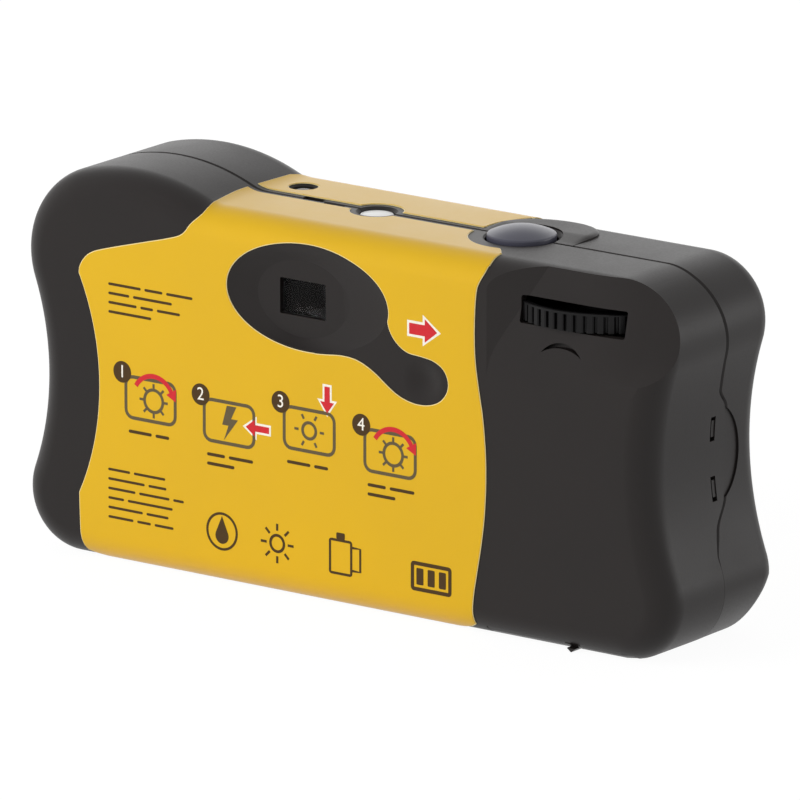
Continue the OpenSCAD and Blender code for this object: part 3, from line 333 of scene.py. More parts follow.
# body outline, seen from the front, as a chain of tangent arcs; on the thumbwheel end the front cover's
# foot corner draws in by taper, beyond doorTurn degrees so that the film door keeps its place
body = {"halfWidth": 60.96, "height": 58.4, "back": 16.0, "front": -13.4, "seam": 1.2, "wall": 1.5, "edge": 4.5,
        "foot": 9.5, "topCorner": 10.0, "topInset": 1.0, "humpCorner": 14.0, "arch": 36.0, "archIn": 19.6,
        "rise": 3.38, "blend": 8.0, "waist": 42.0, "gripWaist": 50.0, "seamGap": 0.1, "lip": 0.3, "step": 0.7,
        "edgeSteps": 20, "finePitch": 0.45, "widePitch": 2.2, "taper": 1.1, "doorTurn": 17}
# bow of the seam on the thumbwheel end, where the back cover reaches over the snap hooks
bow = {"reach": 3.2, "above": 28.0, "below": 14.5, "height": 29.2, "x": -53.7,
       "step": 1.9, "stepHalf": 6.8, "stepMiddle": 0.4, "rampUp": 3.2, "rampDown": 4.6,
       "fade": 17.0, "fadeOver": 4.0, "close": 0.9}


def heading(v):
    return math.degrees(math.atan2(v[1], v[0]))


def meet(a, ra, b, rb):
    d = b - a
    n = np.linalg.norm(d)
    k = (ra * ra - rb * rb + n * n) / (2 * n)
    h = math.sqrt(ra * ra - k * k)
    return a + d * k / n + h * np.array([d[1], -d[0]]) / n


def bodyOutline(b):
    end, high = b["halfWidth"], b["height"]
    footRight, footLeft = np.array([end - b["foot"], b["foot"]]), np.array([-end + b["foot"], b["foot"]])
    topLeft = np.array([-end + b["topInset"] + b["topCorner"], high - b["topCorner"]])
    arch = np.array([end - b["archIn"], high + b["rise"] - b["arch"]])
    across = end - b["humpCorner"] - arch[0]
    lift = math.sqrt((b["arch"] - b["humpCorner"]) ** 2 - across ** 2)
    hump = np.array([end - b["humpCorner"], arch[1] + lift])
    reach = (b["arch"] + b["blend"]) ** 2 - (high + b["blend"] - arch[1]) ** 2
    blend = np.array([arch[0] - math.sqrt(reach), high + b["blend"]])
    right = meet(footRight, b["foot"] + b["waist"], hump, b["humpCorner"] + b["waist"])
    left = meet(topLeft, b["topCorner"] + b["gripWaist"], footLeft, b["foot"] + b["gripWaist"])
    arcs = [(footRight, b["foot"], -90, heading(right - footRight), 1),
            (right, b["waist"], heading(right - footRight) + 180, heading(right - hump) + 180, -1),
            (hump, b["humpCorner"], heading(right - hump), heading(hump - arch), 1),
            (arch, b["arch"], heading(hump - arch), heading(blend - arch), 1),
            (blend, b["blend"], heading(blend - arch) + 180, 270, -1),
            (topLeft, b["topCorner"], 90, heading(left - topLeft) + 360, 1),
            (left, b["gripWaist"], heading(left - topLeft) + 180, heading(left - footLeft) - 180, -1),
            (footLeft, b["foot"], heading(left - footLeft), 270, 1)]
    points, normals = [], []
    toTop, gripSide, toFoot = 4, 6, 7       # arcs by their place in the list
    for k, (centre, radius, start, stop, sign) in enumerate(arcs):
        step = b["step"] * (0.5 if k == gripSide else 1)
        steps = max(6, int(abs(math.radians(stop - start)) * radius / step))
        turn = np.radians(np.linspace(start, stop, steps, endpoint=False))
        way = np.stack([np.cos(turn), np.sin(turn)], axis=1)
        points.append(centre + radius * way)
        normals.append(sign * way)
        if k in (toTop, toFoot):            # a straight run follows
            begin, finish = onCircle(centre, radius, stop), onCircle(*arcs[(k + 1) % len(arcs)][:3])
            along = np.linspace(0, 1, int(np.linalg.norm(finish - begin) / b["step"]), endpoint=False)
            points.append(begin + (finish - begin) * along[:, None])
            normals.append(np.tile([0.0, 1.0 if k == toTop else -1.0], (len(along), 1)))
    return np.concatenate(points), np.concatenate(normals)


outlinePoints, outlineNormals = bodyOutline(body)
edgeTurns = [math.radians(90 * i / body["edgeSteps"]) for i in range(body["edgeSteps"] + 1)]


def ringAt(inset, depth):
    return upright(outlinePoints - inset * outlineNormals, depth)


def inside(points, fence):
    x, y = points[:, 0], points[:, 1]
    result = np.zeros(len(points), bool)
    for (x0, y0), (x1, y1) in zip(fence, np.roll(fence, -1, axis=0)):
        if y0 != y1:
            crosses = ((y0 > y) != (y1 > y)) & (x < (x1 - x0) * (y - y0) / (y1 - y0) + x0)
            result ^= crosses
    return result


def bowed(ring):
    off = ring[:, 2] - bow["height"]
    share = np.clip(1 - (off / np.where(off > 0, bow["above"], bow["below"])) ** 2, 0, 1)
    off = off - bow["stepMiddle"]
    ramp = np.where(off > 0, bow["rampUp"], bow["rampDown"])
    step = np.clip((bow["stepHalf"] + ramp - np.abs(off)) / ramp, 0, 1)
    reach = bow["reach"] * share + bow["step"] * step * step * (3 - 2 * step)
    ring[:, 1] -= np.where(ring[:, 0] < bow["x"], reach, 0)
    return ring


# a row of points beside the seam, which closes below the finger pull
def seamRow(side, inset, lead):
    fade = np.clip((bow["fade"] - outlinePoints[:, 1]) / bow["fadeOver"], 0, 1)
    gape = 1 - bow["close"] * np.where(outlinePoints[:, 0] < bow["x"], fade, 0)
    drawn = inset * (gape if inset < body["wall"] else np.ones(len(gape)))
    ring = upright(outlinePoints - drawn[:, None] * outlineNormals, body["seam"])
    ring[:, 1] += side * (body["seamGap"] / 2 + lead) * gape
    return bowed(ring)


# the front cover's foot corner on the thumbwheel end draws in towards the front
def tapered(ring, side):
    foot = np.array([-body["halfWidth"] + body["foot"], body["foot"]])
    away = ring[:, [0, 2]] - foot
    far = np.maximum(np.linalg.norm(away, axis=1), 1e-6)
    turn = np.degrees(np.arctan2(-away[:, 0], -away[:, 1]))
    aside = np.sin(math.pi * np.clip((turn - body["doorTurn"]) / (90 - body["doorTurn"]), 0, 1))
    share = np.clip((body["seam"] - ring[:, 1]) / (body["seam"] - body["front"]), 0, 1) * (far > 2)
    if side < 0:
        ring[:, [0, 2]] -= (body["taper"] * aside * share / far)[:, None] * away
    return ring


# half of the body as a plain solid, grown by off; side is 1 for the back and -1 for the front
def halfBody(side, start, off):
    face, edge = (body["back"] if side > 0 else body["front"]), body["edge"]
    big = edge + off
    rings = [ringAt(-off, start)]
    for t in edgeTurns:
        depth = face - side * edge + side * big * math.sin(t)
        rings.append(ringAt(-off + big * (1 - math.cos(t)), depth))
    return link("halfBody", *loft(rings))


# one cover: rounded outer skin, inner skin and the rim between them; sculpt gives each point's depth,
# and wanted says where the face has fine points (1), wide ones (0) or the rows of ovals (2)
def coverShell(name, side, sculpt, wanted, ovals):
    face, edge, wall = (body["back"] if side > 0 else body["front"]), body["edge"], body["wall"]
    small = edge - wall
    outer = [seamRow(side, body["lip"], 0), seamRow(side, 0, body["lip"])]
    inner = [seamRow(side, wall, 0)]
    for t in edgeTurns:
        outer.append(ringAt(edge * (1 - math.cos(t)), face - side * edge * (1 - math.sin(t))))
        inner.append(ringAt(edge - small * math.cos(t), face - side * (edge - small * math.sin(t))))
        tapered(outer[-1], side)
        tapered(inner[-1], side)
    fence = outer[-1][:, [0, 2]]
    low, high = fence.min(axis=0), fence.max(axis=0)
    spots = []
    for pitch, kind in ((body["finePitch"], 1), (body["widePitch"], 0)):
        across, up = np.arange(low[0], high[0], pitch), np.arange(low[1], high[1], pitch)
        grid = np.stack(np.meshgrid(across, up), -1).reshape(-1, 2)
        grid = grid[inside(grid, fence)]
        gap = np.min([np.hypot(*(grid - p).T) for p in fence[::2]], axis=0)
        grid = grid[gap > 0.4 * pitch]
        spots.append(grid[wanted(grid[:, 0], grid[:, 1]) == kind])
    flat = np.concatenate([fence] + spots + ovals)
    count = len(fence)
    hem = [(i, (i + 1) % count) for i in range(count)]
    placed, _, cells, origin, _, _ = geometry.delaunay_2d_cdt([Vector(p) for p in flat], hem, [], 1, 1e-5)
    assert len(placed) == len(flat)
    back = {k: o[0] for k, o in enumerate(origin)}
    cells = [[back[v] for v in cell] for cell in cells]

    def raised(points, lift):
        points = np.array(points)
        points[:, 1] = sculpt(points[:, 0], points[:, 2], points[:, 1] + side * lift, lift) - side * lift
        return points

    spread = flat[count:]
    faceOuter = raised(upright(spread, face), 0)
    faceInner = raised(upright(spread, face - side * wall), wall)
    outer = outer[:2] + [raised(r, 0) for r in outer[2:]]
    inner = inner[:1] + [raised(r, wall) for r in inner[1:]]
    verts, faces = loft(inner[::-1] + outer, closeEnds=False)
    total = len(verts)
    for base, first, turned in ((total, total - count, False), (total + len(spread), 0, True)):
        for cell in cells:
            corners = [first + v if v < count else base + v - count for v in cell]
            faces.append(corners[::-1] if turned else corners)
    return link(name, np.concatenate([verts, faceOuter, faceInner]), faces)


def softMin(a, b, k):
    h = np.clip(0.5 + 0.5 * (b - a) / k, 0, 1)
    return b * (1 - h) + a * h - k * h * (1 - h)


# back cover: thumb scoop, oval dish round the eyepiece, round dimple at the end of the tail
scoop = {"side": -27.6, "sideSlope": 0.36, "foot": 43.3, "slope": 0.22, "footRadius": 30.0, "sweep": 0.0127,
         "sweepFrom": -44.0, "sweepFoot": 1.9, "over": 1.9, "end": -66, "out": 22}
dish = {"floor": (7.9, 46.8), "floorSize": (8.5, 6.0), "rim": (5.8, 47.5), "rimSize": (15.0, 8.05), "depth": 1.6}
dimple = {"centre": (-16.0, 38.0), "radius": 3.9, "depth": 0.75}
slot = {"x": -42.1, "halfWidth": 9.4, "low": 49.4, "high": 53.55, "radius": 0.35}
eye = {"centre": (7.9, 46.8), "size": (8.6, 5.6), "window": (11, 8)}
hooks = {"x": (-63, -55.52), "y": (-1.2, 0.0), "heights": (24.4, 33.6), "half": 1.9, "room": 0.62, "sunk": 0.15,
         "faceX": (-64, -54.5), "faceGap": (0.02, 0.42)}
button = {"x": -23.3, "y": 1.2, "radius": 5.3, "hole": 5.6, "flare": 0.6, "ring": 8.2, "rise": 1.9,
          "shoulder": 1.5, "bevel": 0.35, "travel": 1.3}
counter = {"x": 3.8, "y": 1.2, "hole": 2.75, "flare": 0.5, "ring": 4.25}
ready = {"x": 21.8, "y": -4.3, "hole": 2.0, "flare": 0.35, "ring": 2.4}
seamSlots = {"back": ((9.5, -1, 55.9), (13.3, 2.15, 60)), "front": ((14.2, 0.1, 57.2), (18.0, 1.4, 60))}


def dishRing(t):
    floor, rim = np.array(dish["floor"] + dish["floorSize"]), np.array(dish["rim"] + dish["rimSize"])
    return floor + t * (rim - floor)


# how far out a point lies: 0 on the dish's floor, 1 on its rim
def dishShare(x, z):
    low, high = np.zeros_like(x), np.full_like(x, 1.3)
    for _ in range(24):
        t = (low + high) / 2
        cx, cz, a, b = dishRing(t[..., None]).T
        beyond = ((x - cx) / a) ** 2 + ((z - cz) / b) ** 2 > 1
        low, high = np.where(beyond, t, low), np.where(beyond, high, t)
    return (low + high) / 2


def dimpleShare(x, z):
    return np.hypot(x - dimple["centre"][0], z - dimple["centre"][1]) / dimple["radius"]


# floor of the thumb scoop: a slope with a soft foot that sweeps deeper towards the end
def scoopFloor(x, z):
    lean = math.atan(scoop["slope"])
    soft = scoop["footRadius"] * math.tan(lean / 2)
    above = z - scoop["foot"]
    curve = scoop["footRadius"] - np.sqrt(scoop["footRadius"] ** 2 - np.clip(above + soft, 0, 2 * soft) ** 2)
    sink = np.where(above > soft * math.cos(lean), above * scoop["slope"], curve)
    sweep = scoop["sweep"] * np.maximum(scoop["sweepFrom"] - x, 0) ** 2
    return body["back"] - sink - sweep * (1 - np.exp(-np.maximum(above + 0.3, 0) / scoop["sweepFoot"]))


def scoopFlank(x):
    return body["back"] - (scoop["side"] - x) * scoop["sideSlope"]


def sculptBack(x, z, y, lift):
    if lift:                                # the inner skin keeps its wall behind the scoop that is cut later
        cut = softMin(y, np.maximum(scoopFloor(x, z), scoopFlank(x)), 0.3)
        y = np.where(x < scoop["side"] + 1.5, cut, y)
    hollow = dish["depth"] * np.clip(1 - dishShare(x, z), 0, 1) ** 0.9
    hollow = hollow + dimple["depth"] * (0.5 + 0.5 * np.cos(math.pi * np.clip(dimpleShare(x, z), 0, 1)))
    return y - hollow * (y > body["back"] - 0.6)


def fineBack(x, z):
    kept = (dishShare(x, z) > 1.04) & (dimpleShare(x, z) > 1.08)
    return np.where(kept, ((x < scoop["side"] + 1.5) & (z > scoop["foot"] - 6)).astype(int), 2)


dishRows = [ovalPoints(dishRing(t)[:2], *dishRing(t)[2:], 132) for t in np.linspace(0, 1, 15)]
dimpleRows = [circle(dimple["centre"], dimple["radius"] * t, 48) for t in np.linspace(0.1, 1, 10)]


def scoopTool():
    side, out = scoop["side"] + scoop["over"], scoop["out"]
    heights = np.concatenate([np.linspace(scoop["foot"] - 3.3, scoop["foot"] + 6, 48),
                              np.linspace(50, body["height"] + 4, 14)])
    rings = []
    for x in np.linspace(scoop["end"], side, 80):
        depth = scoopFloor(np.full(len(heights), x), heights)
        profile = np.concatenate([np.column_stack([depth, heights]), [(out, heights[-1]), (out, heights[0])]])
        rings.append(np.column_stack([np.full(len(profile), x), profile]))
    beyond = scoop["end"] - 4
    flank = [(side, scoopFlank(side)), (beyond, scoopFlank(beyond)), (beyond, out), (side, out)]
    return carve(link("scoop", *loft(rings)), prism(flank, "z", 30, 70), "INTERSECT")


# raised pad with a blunt tail in front of the shutter button; its rows are shares of its plan and its height
pad = {"height": 0.6, "least": 0.15, "over": 4.5, "middle": 4.5, "gap": 0.02,
       "tail": [(-15.6, 5.8), (-15.6, -3.4), (-18.4, -7.6), (-23.5, -9.6), (-29.3, -9.4), (-32.6, -6.2),
                (-32.6, -1.4), (-32.6, 3.8)],
       "rows": ((1, -0.8), (1, 0.4), (0.97, 0.75), (0.93, 0.95), (0.88, 1), (0.7, 1), (0.5, 1), (0.3, 1), (0.1, 1))}


def addPad(cover):
    edge = cutCorners(pad["tail"])
    edge = edge[edge[:, 1] < button["y"] - 0.3]
    flat = np.concatenate([[(edge[0][0], button["y"])], edge, [(edge[-1][0], button["y"])]])
    flat[:, 1] -= pad["gap"] + body["seamGap"] / 2
    middle = np.array((button["x"], button["y"] - pad["middle"]))
    rings = []
    for share, level in pad["rows"]:
        spot = middle + (flat - middle) * share
        rise = pad["height"] * np.clip((button["y"] - spot[:, 1]) / pad["over"], pad["least"], 1)
        rings.append(np.column_stack([spot, body["height"] + level * np.where(level > 0, rise, 1)]))
    carve(cover, link("pad", *loft(rings)), "UNION")


def topHoles(cover):
    low, high = 53, body["height"] + 6
    for place in (button, counter, ready):
        hole, flare = place["hole"], place["flare"]
        level = body["height"] + (pad["height"] / 2 if place is button else 0)
        profile = [(hole, low), (hole, level - flare), (hole + flare, level + 0.01), (hole + flare, high)]
        carve(cover, lathe("hole", profile, (place["x"], place["y"], 0)))


door = {"x": -40.2, "y": 1.9, "half": 13.36, "front": 13.55, "low": -1, "high": 1.56,
        "hinge": (-10.6, 0.945), "hingeRadius": 1.274, "tabEnd": 14.85}


# room for the film door and its hinge bar, grown by off
def doorTool(off):
    low = (door["x"] - door["half"] - off, door["y"] - door["front"] - off, door["low"] - off)
    high = (door["x"] + door["half"] + off, door["y"] + door["half"] + off, door["high"] + off)
    bar = prism(circle(door["hinge"], door["hingeRadius"] + off, 40), "x", low[0], high[0])
    return carve(block(low, high), bar, "UNION")


nail = {"centre": (-40.9, 42.9), "radius": 4.6, "chord": 45.6, "thick": 0.8, "depth": 1.1}


# crescent for a finger nail, cut into the scoop's floor
def nailTool():
    chord = nail["chord"]
    rise = math.degrees(math.asin((chord - nail["centre"][1]) / nail["radius"]))
    arc = circle(nail["centre"], nail["radius"], 40, rise, 180 - rise)
    top = nail["centre"][1] + nail["radius"] - chord
    under = np.column_stack([arc[:, 0], chord + (arc[:, 1] - chord) * (1 - nail["thick"] / top)])
    crescent = np.concatenate([arc, under[-2:0:-1]])
    floor = scoopFloor(crescent[:, 0], crescent[:, 1]) - nail["depth"]
    return link("nail", *loft([upright(crescent, floor), upright(crescent, scoop["out"] - 2.0)]))


backShell = coverShell("backShell", 1, sculptBack, fineBack, dishRows + dimpleRows)
carve(backShell, scoopTool())
carve(backShell, prism(roundedBox((slot["x"], (slot["low"] + slot["high"]) / 2), 2 * slot["halfWidth"],
                                  slot["high"] - slot["low"], slot["radius"]), "y", 6, 18))
carve(backShell, prism(roundedBox(eye["centre"], *eye["size"], 0.25), "y", 9, 18))
topHoles(backShell)
for height in hooks["heights"]:
    carve(backShell, block((hooks["x"][0], hooks["y"][0], height - hooks["half"]),
                           (hooks["x"][1], hooks["y"][1], height + hooks["half"])))
carve(backShell, block(*seamSlots["back"]))
carve(backShell, doorTool(0))
carve(backShell, nailTool())
settle(backShell, "shell", 11)
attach(backShell, "body")
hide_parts("back_cover")
print("back cover made")


# front cover: finger grip, raised keyhole and flash frame, finger pull in the end
grip = {"centre": (-44.2, 29.2), "size": (6.8, 21.2), "height": 2.0}
keyhole = {"lens": (-0.4, 23.75), "radius": 18.5, "hole": 10.6, "neck": (7.9, 16.0, 53.2), "neckFoot": 28,
           "height": 0.8, "chamfer": 0.25, "sunk": 0.7}
flash = {"centre": (43.5, 46.0), "size": (20.0, 12.5), "frame": ((30.0, 37.0), (56.0, 53.4))}
flashKey = {"centre": (34.5, 19.05), "hole": 5.25, "ring": 6.5}
pull = {"y": 0.55, "z": 29.6, "radius": 8.05, "depth": 0.32, "x": (-64, -50)}


def gripShare(x, z):
    return np.hypot((x - grip["centre"][0]) / grip["size"][0], (z - grip["centre"][1]) / grip["size"][1])


def sculptFront(x, z, y, lift):
    t = np.clip(1 - gripShare(x, z) ** 2, 0, 1)
    return y - grip["height"] * np.sqrt(t) * (1 - 0.35 * (1 - t))


def fineFront(x, z):
    return np.where(gripShare(x, z) < 1.05, 2, 0)


gripRows = [ovalPoints(grip["centre"], grip["size"][0] * t, grip["size"][1] * t, 110)
            for t in np.sin(np.linspace(0.05, math.pi / 2, 20))]


def raisedPlate(cover, outline):
    middle = outline.mean(axis=0)
    away = outline - middle
    drawn = middle + away * (1 - keyhole["chamfer"] / np.linalg.norm(away, axis=1)[:, None])
    face = body["front"] - keyhole["height"]
    rings = [upright(drawn, face), upright(outline, face + keyhole["chamfer"]),
             upright(outline, body["front"] + keyhole["sunk"])]
    carve(cover, link("plate", *loft(rings)), "UNION")


# the body's outline drawn in and stretched right through it
def insetCore(inset):
    return link("core", *loft([ringAt(inset, y) for y in (-20, 20)]))


frontShell = coverShell("frontShell", -1, sculptFront, fineFront, gripRows)
addPad(frontShell)
raisedPlate(frontShell, circle(keyhole["lens"], keyhole["radius"], 128))
neckX, neckWidth, neckTop = keyhole["neck"]
neckFoot = keyhole["neckFoot"]
raisedPlate(frontShell, roundedBox((neckX, (neckTop + neckFoot) / 2), neckWidth, neckTop - neckFoot, 2.2))
(fx0, fz0), (fx1, fz1) = flash["frame"]
frameShape = roundedBox(((fx0 + fx1) / 2, (fz0 + fz1) / 2), fx1 - fx0, fz1 - fz0, 1.6, 8)
fence = ringAt(body["edge"] + 0.2, 0)[:, [0, 2]]
reach = np.array([fence[(np.abs(fence[:, 1] - z) < 0.5) & (fence[:, 0] > 0), 0].max() for z in frameShape[:, 1]])
frameShape[:, 0] = np.minimum(frameShape[:, 0], reach)
raisedPlate(frontShell, frameShape)
for opening in (circle(keyhole["lens"], keyhole["hole"], 96), roundedBox(eye["centre"], *eye["window"], 0.6),
                roundedBox(flash["centre"], *flash["size"], 0.6),
                circle(flashKey["centre"], flashKey["hole"], 64)):
    carve(frontShell, prism(opening, "y", -20, -9))
topHoles(frontShell)
carve(frontShell, block(*seamSlots["front"]))
carve(frontShell, doorTool(0))
pullTool = prism(circle((pull["y"], pull["z"]), pull["radius"], 120), "x", *pull["x"])
carve(frontShell, carve(pullTool, insetCore(pull["depth"])))
for height in hooks["heights"]:
    long = hooks["half"] - hooks["room"]
    face = block((hooks["faceX"][0], hooks["y"][0] + hooks["faceGap"][0], height - long),
                 (hooks["faceX"][1], hooks["y"][1] - hooks["faceGap"][1], height + long))
    carve(face, insetCore(hooks["sunk"]), "INTERSECT")
    carve(frontShell, face, "UNION")
settle(frontShell, "shell", 28)
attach(frontShell, "body")
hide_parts("front_cover")
print("front cover made")


# label: thin skins that follow the covers, cut to their outlines; yellow print on pale paper, whose edge
# shows as a thin border
label = {"lift": 0.18, "paperLift": 0.12, "under": 0.02, "border": 0.13, "groove": 2.8, "dishGap": 0.35,
         "plinthGap": 0.6, "doorGap": 0.2, "foot": 0.3, "waist": ((85.56, 27.88), 40.2)}
# sx is the scoop's side, hx the middle of the hump, bh the top, xe the end, bx the button
sx, hx, bh, xe, bx = scoop["side"], 41.4, body["height"], body["halfWidth"], button["x"]
backOutline = [(sx + 2.6, -1), (sx + 2.6, 5), (sx + 1.7, 10), (sx + 0.8, 15), (sx + 0.2, 20), (sx, 27),
               (sx + 0.6, 34), (sx + 1.4, 38), (sx + 2.2, 43), (sx + 2.3, 48), (sx + 2, bh - 5),
               (sx + 1.3, bh - 3.2), (sx + 0.6, bh - 1.8), (sx + 0.5, bh + 2), (hx - 15.2, bh + 2),
               (hx - 15.2, bh - 0.7), (hx - 14.5, bh - 1.6), (hx - 13.4, bh - 2.7), (hx - 12.5, bh - 4.1),
               (hx - 11, bh - 5.1), (hx - 3.3, bh - 7.2), (xe - 16.8, bh - 8.9), (xe - 13.8, bh - 9.9),
               (xe - 12.2, bh - 11.5), (xe - 11.5, bh - 13.4), (xe - 11.5, 4), (xe - 12.6, -1)]
frontOutline = [(-36.2, -1), (-34.6, 9), (-36.8, 25), (-34.8, 42), (bx - 2, bh - 7.5), (bx + 3, bh - 4),
                (bx + 5, bh - 1.6), (bx + 6, bh + 2), (hx - 15, bh + 2), (28.5, bh - 6), (28.5, 35.5),
                (xe - 12, 35.5), (xe - 12.2, 6), (xe - 13.3, -1)]
topOutline = [(bx + 8.4, -3.2), (bx + 6.8, -7), (bx + 5, -10.4), (bx + 4.8, -15), (hx - 14.6, -15),
              (hx - 14.2, 1.2), (hx - 14.2, 5.2), (hx - 14.7, 9.2), (hx - 15.2, 12.5), (hx - 15.2, 17),
              (sx + 0.5, 17), (sx + 0.5, 12.2), (sx + 0.8, 11.2), (bx - 1.2, 8.6), (bx + 4, 5), (bx + 7.6, 1.2)]
tailOutline = [(-9.2, 48.0), (-9.4, 45.5), (-10.6, 43.5), (-12.8, 42.0), (-15.4, 41.9), (-18.3, 41.5), (-20.3, 40.1),
               (-20.9, 37.6), (-19.5, 35.3), (-17.0, 34.2), (-14.1, 34.1), (-11.2, 34.9), (-9.0, 36.3), (-6.5, 38.1),
               (-3.5, 39.4), (-0.5, 39.6), (2.5, 39.2), (5.8, 39.0), (5.8, 46.0)]
dishRim = ovalPoints(dish["rim"], dish["rimSize"][0] + label["dishGap"], dish["rimSize"][1] + label["dishGap"], 120)
gap = label["plinthGap"]
neckHole = roundedBox((neckX, (neckTop + gap + neckFoot) / 2), neckWidth + 2 * gap, neckTop + gap - neckFoot, 2.6)
sides = {1: {"name": "back", "face": body["back"], "shape": cutCorners(backOutline),
             "holes": [dishRim, cutCorners(tailOutline)]},
         -1: {"name": "front", "face": body["front"], "shape": cutCorners(frontOutline),
              "holes": [circle(keyhole["lens"], keyhole["radius"] + gap, 128),
                        circle(flashKey["centre"], flashKey["ring"], 64), neckHole]}}


# an outline moved outwards
def grown(points, by):
    points = np.asarray(points, float)
    way = np.roll(points, -1, axis=0) - np.roll(points, 1, axis=0)
    way /= np.maximum(np.linalg.norm(way, axis=1), 1e-9)[:, None]
    area = np.sum(points[:, 0] * np.roll(points[:, 1], -1) - np.roll(points[:, 0], -1) * points[:, 1])
    return points + by * math.copysign(1, area) * np.column_stack([way[:, 1], -way[:, 0]])


def topTool(by):
    tool = prism(grown(cutCorners(topOutline), by), "z", bh - 1.2, bh + 3)
    for place, count in ((button, 96), (counter, 64), (ready, 64)):
        carve(tool, prism(circle((place["x"], place["y"]), place["ring"] - by, count), "z", 40, 70))
    return tool


def makeLabel(side, finish, lift, by):
    plan = sides[side]
    face = plan["face"]
    tool = prism(grown(plan["shape"], by), "y", *sorted((face + side, face - side * body["edge"])))
    carve(tool, prism(grown(circle(*label["waist"], 240), -by), "y", -20, 20))
    carve(tool, topTool(by), "UNION")
    skin = halfBody(side, body["seam"] + side * (label["groove"] / 2 - by), lift)
    carve(skin, halfBody(side, body["seam"], label["under"]))
    carve(skin, tool, "INTERSECT")
    carve(skin, block((-70, -20, -2), (70, 20, label["foot"])))
    for hole in plan["holes"]:
        carve(skin, prism(grown(hole, -by), "y", *sorted((face - side, face + 2 * side))))
    carve(skin, doorTool(label["doorGap"]))
    settle(skin, finish, 28)
    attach(skin, "body")
    return skin


for side, plan in sides.items():
    sheet = makeLabel(side, "yellow", label["lift"], 0)
    sheet.name = plan["name"] + "Label"
    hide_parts(plan["name"] + "_label")
    makeLabel(side, "paper", label["paperLift"], label["border"]).name = plan["name"] + "Paper"
print("labels made")


# controls
capTop = body["height"] + button["rise"]
shoulder = capTop - button["shoulder"]
capProfile = [(0, 55.6), (6.2, 55.6), (6.2, 56.7), (button["radius"], 56.7), (button["radius"], shoulder)]
for i in range(1, 6):
    t = math.radians(15 * i)
    capProfile.append((button["radius"] - button["bevel"] * (1 - math.cos(t)),
                       shoulder + button["bevel"] * math.sin(t)))
rimRadius, rimHeight = capProfile[-1]
for i in range(1, 15):
    radius = rimRadius * (1 - i / 14)
    capProfile.append((radius, capTop - (capTop - rimHeight) * (radius / rimRadius) ** 2))
cap = lathe("buttonCap", capProfile, (button["x"], button["y"], 0))
settle(cap, "button", 40)
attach(cap, "release")
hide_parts("shutter_button")

windowProfile = [(0, 55.9), (3.6, 55.9), (3.6, 56.9), (2.65, 56.9), (2.65, 57.75), (2.5, 57.95), (1.5, 58.1),
                 (0, 58.15)]
lampProfile = [(0, 53.9), (1.9, 53.9), (1.9, 55.9), (2.7, 55.9), (2.7, 56.9), (1.9, 56.9), (1.9, 57.5)]
lampProfile += [(1.9 * math.cos(t), 57.5 + 0.7 * math.sin(t)) for t in np.radians((15, 30, 45, 60, 75, 90))]
for name, profile, place, finish, node in (("countWindow", windowProfile, counter, "white", "counter_window"),
                                           ("lampDome", lampProfile, ready, "darkLens", "ready_pipe")):
    piece = settle(lathe(name, profile, (place["x"], place["y"], 0), count=64), finish, 40)
    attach(piece, "body")
    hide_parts(node)

wheel = {"x": -40.2, "y": 1.9, "radius": 14.05, "low": 49.7, "high": 52.6, "ribs": 54, "ribWidth": 1.12,
         "ribFoot": 0.62, "ribDepth": 0.62, "flange": 0.3, "sunk": 1.6, "lip": 0.8}


def ribMesh(w):
    tall = w["high"] - w["low"] - w["flange"] + 0.1
    deep, half, foot = w["ribDepth"], w["ribWidth"] / 2, w["ribWidth"] * w["ribFoot"]
    outline = [(-0.5, -foot), (deep - 0.16, -half), (deep, -half + 0.2),
               (deep, half - 0.2), (deep - 0.16, half), (-0.5, foot)]
    return prism(outline, "z", 0, tall)


# ring of ribs: copies of one rib round a circle, turned outwards
def ribRing(w):
    tree = bpy.data.node_groups.new("ribRing", "GeometryNodeTree")
    face = tree.interface
    face.new_socket("Geometry", in_out="OUTPUT", socket_type="NodeSocketGeometry")
    face.new_socket("Geometry", in_out="INPUT", socket_type="NodeSocketGeometry")
    inputs = {n: face.new_socket(n, in_out="INPUT", socket_type="NodeSocket" + t) for n, t in
              (("Rib", "Object"), ("Count", "Int"), ("Radius", "Float"), ("Finish", "Material"))}
    node = tree.nodes.new
    start, end = node("NodeGroupInput"), node("NodeGroupOutput")
    ring, info = node("GeometryNodeMeshCircle"), node("GeometryNodeObjectInfo")
    copies, both = node("GeometryNodeInstanceOnPoints"), node("GeometryNodeJoinGeometry")
    index, turn, spin = node("GeometryNodeInputIndex"), node("ShaderNodeMath"), node("ShaderNodeCombineXYZ")
    real, paint = node("GeometryNodeRealizeInstances"), node("GeometryNodeSetMaterial")
    share = node("ShaderNodeMath")
    share.operation, turn.operation = "DIVIDE", "MULTIPLY"
    share.inputs[0].default_value = 2 * math.pi
    for source, given, target, taken in (
            (start, "Count", ring, "Vertices"), (start, "Radius", ring, "Radius"), (start, "Rib", info, "Object"),
            (start, "Count", share, 1), (index, 0, turn, 0), (share, 0, turn, 1), (turn, 0, spin, "Z"),
            (ring, "Mesh", copies, "Points"), (info, "Geometry", copies, "Instance"), (spin, 0, copies, "Rotation"),
            (copies, 0, both, 0), (start, "Geometry", both, 0), (both, 0, real, 0), (real, 0, paint, "Geometry"),
            (start, "Finish", paint, "Material"), (paint, 0, end, 0)):
        tree.links.new(source.outputs[given], target.inputs[taken])
    return tree, {n: s.identifier for n, s in inputs.items()}


core = wheel["radius"] - wheel["ribDepth"]


